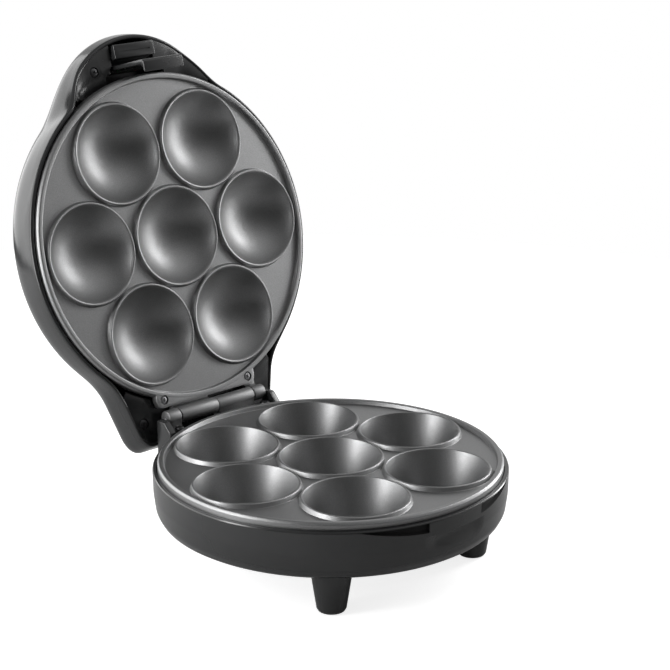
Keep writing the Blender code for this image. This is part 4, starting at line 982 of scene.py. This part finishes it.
# ---- hinge pin, latch pin
bm = bmesh.new()
rod_x(bm, PIN_R, -42.4, 43.2, HINGE_Y, HINGE_Z, 40, 0.5)
piece("hinge_pin_fine", bm, "base", "steel", "hinge_pin")
bm = bmesh.new()
rod_x(bm, 1.5, -22.0, 22.0, LATCH_Y, LATCH_Z, 32, 0.3)
piece("latch_pin_fine", bm, "lid", "steel", "latch_pin")

# ---- cord gland
bm = bmesh.new()
lathe(bm, fillet([(3.2, -9.0), (4.2, -9.0, 0.2), (4.2, 1.3), (6.8, 1.3, 0.3), (6.8, 2.6, 0.8), (5.6, 3.8, 0.5), (3.2, 3.8, 0.6)], 4, True), 48, closed=True,
      matrix=Matrix.Translation((0, 117.0, -28.0)) @ Matrix.Rotation(math.radians(-90), 4, "X"))
piece("cord_gland_fine", bm, "base", "rubber", "cord_gland")

# ---- lenses on the lid's outside
for node, s in (("power_lens", -1), ("ready_lens", 1)):
    bm = bmesh.new()
    lathe(bm, fillet([(0, 30.6), (5.2, 30.6, 0.2), (5.2, 31.8, 0.3), (3.9, 31.8, 0.2), (3.9, 36.4, 0.6), (2.4, 37.1, 1.5), (0, 37.35)], 5), 48, (s * LENS_X, LENS_Y))
    piece(node + "_fine", bm, "lid", "lens_red" if s < 0 else "lens_green", node)

# ================================================================ latch lever
HOOK = (fillet([(-118.3, 18.0), (-118.3, -19.1, 1.9), (-110.2, -19.1, 0.8), (-109.9, -17.6, 0.45), (-113.5, -16.8, 1.5), (-115.4, -14.4, 1.5),
                (-115.4, 18.6, 1.0), (-113.8, 20.5)], 5)
        + arc(LATCH_Y, LATCH_Z, 4.0, -20, 195, 24) + [(-121.2, 19.0)])
BLOCK = fillet([(-131.9, 10.0, 0.7), (-122.4, 10.0, 0.6), (-122.2, 15.6, 1.2), (-118.4, 18.6), (-117.0, 22.0), (-120.6, 22.0), (-122.6, 18.0, 1.5),
                (-126.0, 14.4, 2.5), (-131.4, 13.7, 0.7)], 4, True)
bm = bmesh.new()
prism(bm, HOOK, -LATCH_HALF + 0.2, LATCH_HALF - 0.2, "X", 0.75, 0.75)
prism(bm, BLOCK, -LATCH_HALF, LATCH_HALF, "X", 0.65, 0.65)
slot_line = bmesh.new()
prism(slot_line, fillet([(-11.6, -127.2, 0.35), (12.6, -127.2, 0.35), (12.6, -126.4, 0.35), (-11.6, -126.4, 0.35)], 3, True), 8.0, 10.8, "Z", 0.0, 0.0)
# the latch lever takes the lighter copy of the black plastic: painted light
piece("latch_lever_fine", bm, "latch", "inner_black", "latch_lever", angle=40, cuts=[slot_line]).data.materials[0] = M["handle_black"]


# ================================================================ floor and light
floor_mat, nt, sh = new_material("floor_pale")
link(nt, mix_colour(nt, noise_node(nt, object_coords(nt), 3.0, 2.0, 0.5), (0.54, 0.54, 0.54), (0.56, 0.56, 0.56)), sh.inputs["Base Color"])
sh.inputs["Roughness"].default_value = 0.9
# seen directly the floor is a white sweep lit from below; everything else meets plain pale board
path = nt.nodes.new("ShaderNodeLightPath")
sh.inputs["Emission Color"].default_value = (1.0, 1.0, 1.0, 1.0)
link(nt, math_node(nt, "MULTIPLY", path.outputs["Is Camera Ray"], 0.80), sh.inputs["Emission Strength"])
bm = bmesh.new()
lathe(bm, [(0, 0.0), (0.75, 0.0)], 96)
mesh = bpy.data.meshes.new("floor")
bmesh.ops.recalc_face_normals(bm, faces=bm.faces)
bm.to_mesh(mesh)
bm.free()
floor = bpy.data.objects.new("floor", mesh)
scene.collection.objects.link(floor)
mesh.materials.append(floor_mat)


def softbox(name, where, target, size, power, colour=(1, 1, 1)):
    data = bpy.data.lights.new(name, "AREA")
    data.shape = "RECTANGLE"
    data.size, data.size_y = size
    data.energy = power
    data.color = colour
    ob = bpy.data.objects.new(name, data)
    ob.location = where
    ob.rotation_euler = (Vector(target) - Vector(where)).to_track_quat("-Z", "Y").to_euler()
    scene.collection.objects.link(ob)
    return ob


CENTRE = (0.0, 0.03, 0.14)
# two standing panels behind and to the left, out of the picture, that the lid's side mirrors
softbox("panel_left", (-0.62, 0.34, 0.30), (-0.05, 0.05, 0.16), (0.80, 0.58), 4.2)
softbox("panel_back", (-0.22, 0.86, 0.42), (-0.02, 0.08, 0.22), (0.62, 0.80), 4.3)
# the main light, a tall strip at the right that reaches down to the table; the coated domes mirror it as a soft streak
A_MAIN = math.radians(-13.0)
softbox("strip_main", (0.85 * math.cos(A_MAIN), 0.85 * math.sin(A_MAIN), 0.38), (0.0, 0.0, 0.38), (0.24, 0.92), 6.6)
# a narrow strip at the left; only edges and crests that turn that way mirror it
A_LEFT = math.radians(170.0)
softbox("strip_left", (0.78 * math.cos(A_LEFT), 0.78 * math.sin(A_LEFT), 0.28), (0.0, 0.0, 0.22), (0.16, 0.60), 3.3)

world = bpy.data.worlds.new("studio")
scene.world = world
world.use_nodes = True
nt = world.node_tree
nt.nodes.clear()
out = nt.nodes.new("ShaderNodeOutputWorld")
seen = nt.nodes.new("ShaderNodeBackground")
seen.inputs["Color"].default_value = (1.0, 1.0, 1.0, 1.0)
seen.inputs["Strength"].default_value = 1.0
lit = nt.nodes.new("ShaderNodeBackground")
lit.inputs["Color"].default_value = (1.0, 1.0, 1.0, 1.0)
direction = nt.nodes.new("ShaderNodeTexCoord").outputs["Generated"]
xyz = nt.nodes.new("ShaderNodeSeparateXYZ")
link(nt, direction, xyz.inputs["Vector"])


def smooth_ramp(fac, low, high, a, b):
    n = nt.nodes.new("ShaderNodeMapRange")
    n.interpolation_type = "SMOOTHSTEP"
    n.inputs["From Min"].default_value = low
    n.inputs["From Max"].default_value = high
    n.inputs["To Min"].default_value = a
    n.inputs["To Max"].default_value = b
    link(nt, fac, n.inputs["Value"])
    return n.outputs["Result"]


def glow(centre, inner, outer, amount):
    """A round soft light in the sky about a direction, full inside one angle and gone past the other."""
    dot = nt.nodes.new("ShaderNodeVectorMath")
    dot.operation = "DOT_PRODUCT"
    link(nt, direction, dot.inputs[0])
    dot.inputs[1].default_value = Vector(centre).normalized()
    return smooth_ramp(dot.outputs["Value"], math.cos(math.radians(outer)), math.cos(math.radians(inner)), 0.0, amount)


sky = smooth_ramp(xyz.outputs["Z"], 0.10, 0.95, 0.035, 0.24)
for light in (((0.955, -0.14, 0.26), 8.0, 66.0, 0.62), ((0.21, -0.49, 0.85), 0.0, 34.0, 0.45), ((0.42, 0.88, 0.21), 0.0, 36.0, 0.80)):
    sky = math_node(nt, "ADD", sky, glow(*light))
link(nt, sky, lit.inputs["Strength"])
path = nt.nodes.new("ShaderNodeLightPath")
mix = nt.nodes.new("ShaderNodeMixShader")
nt.links.new(path.outputs["Is Camera Ray"], mix.inputs["Fac"])
nt.links.new(lit.outputs["Background"], mix.inputs[1])
nt.links.new(seen.outputs["Background"], mix.inputs[2])
nt.links.new(mix.outputs["Shader"], out.inputs["Surface"])

scene.view_settings.view_transform = "Standard"
scene.view_settings.look = "None"
scene.view_settings.exposure = 0.0
scene.view_settings.gamma = 1.0
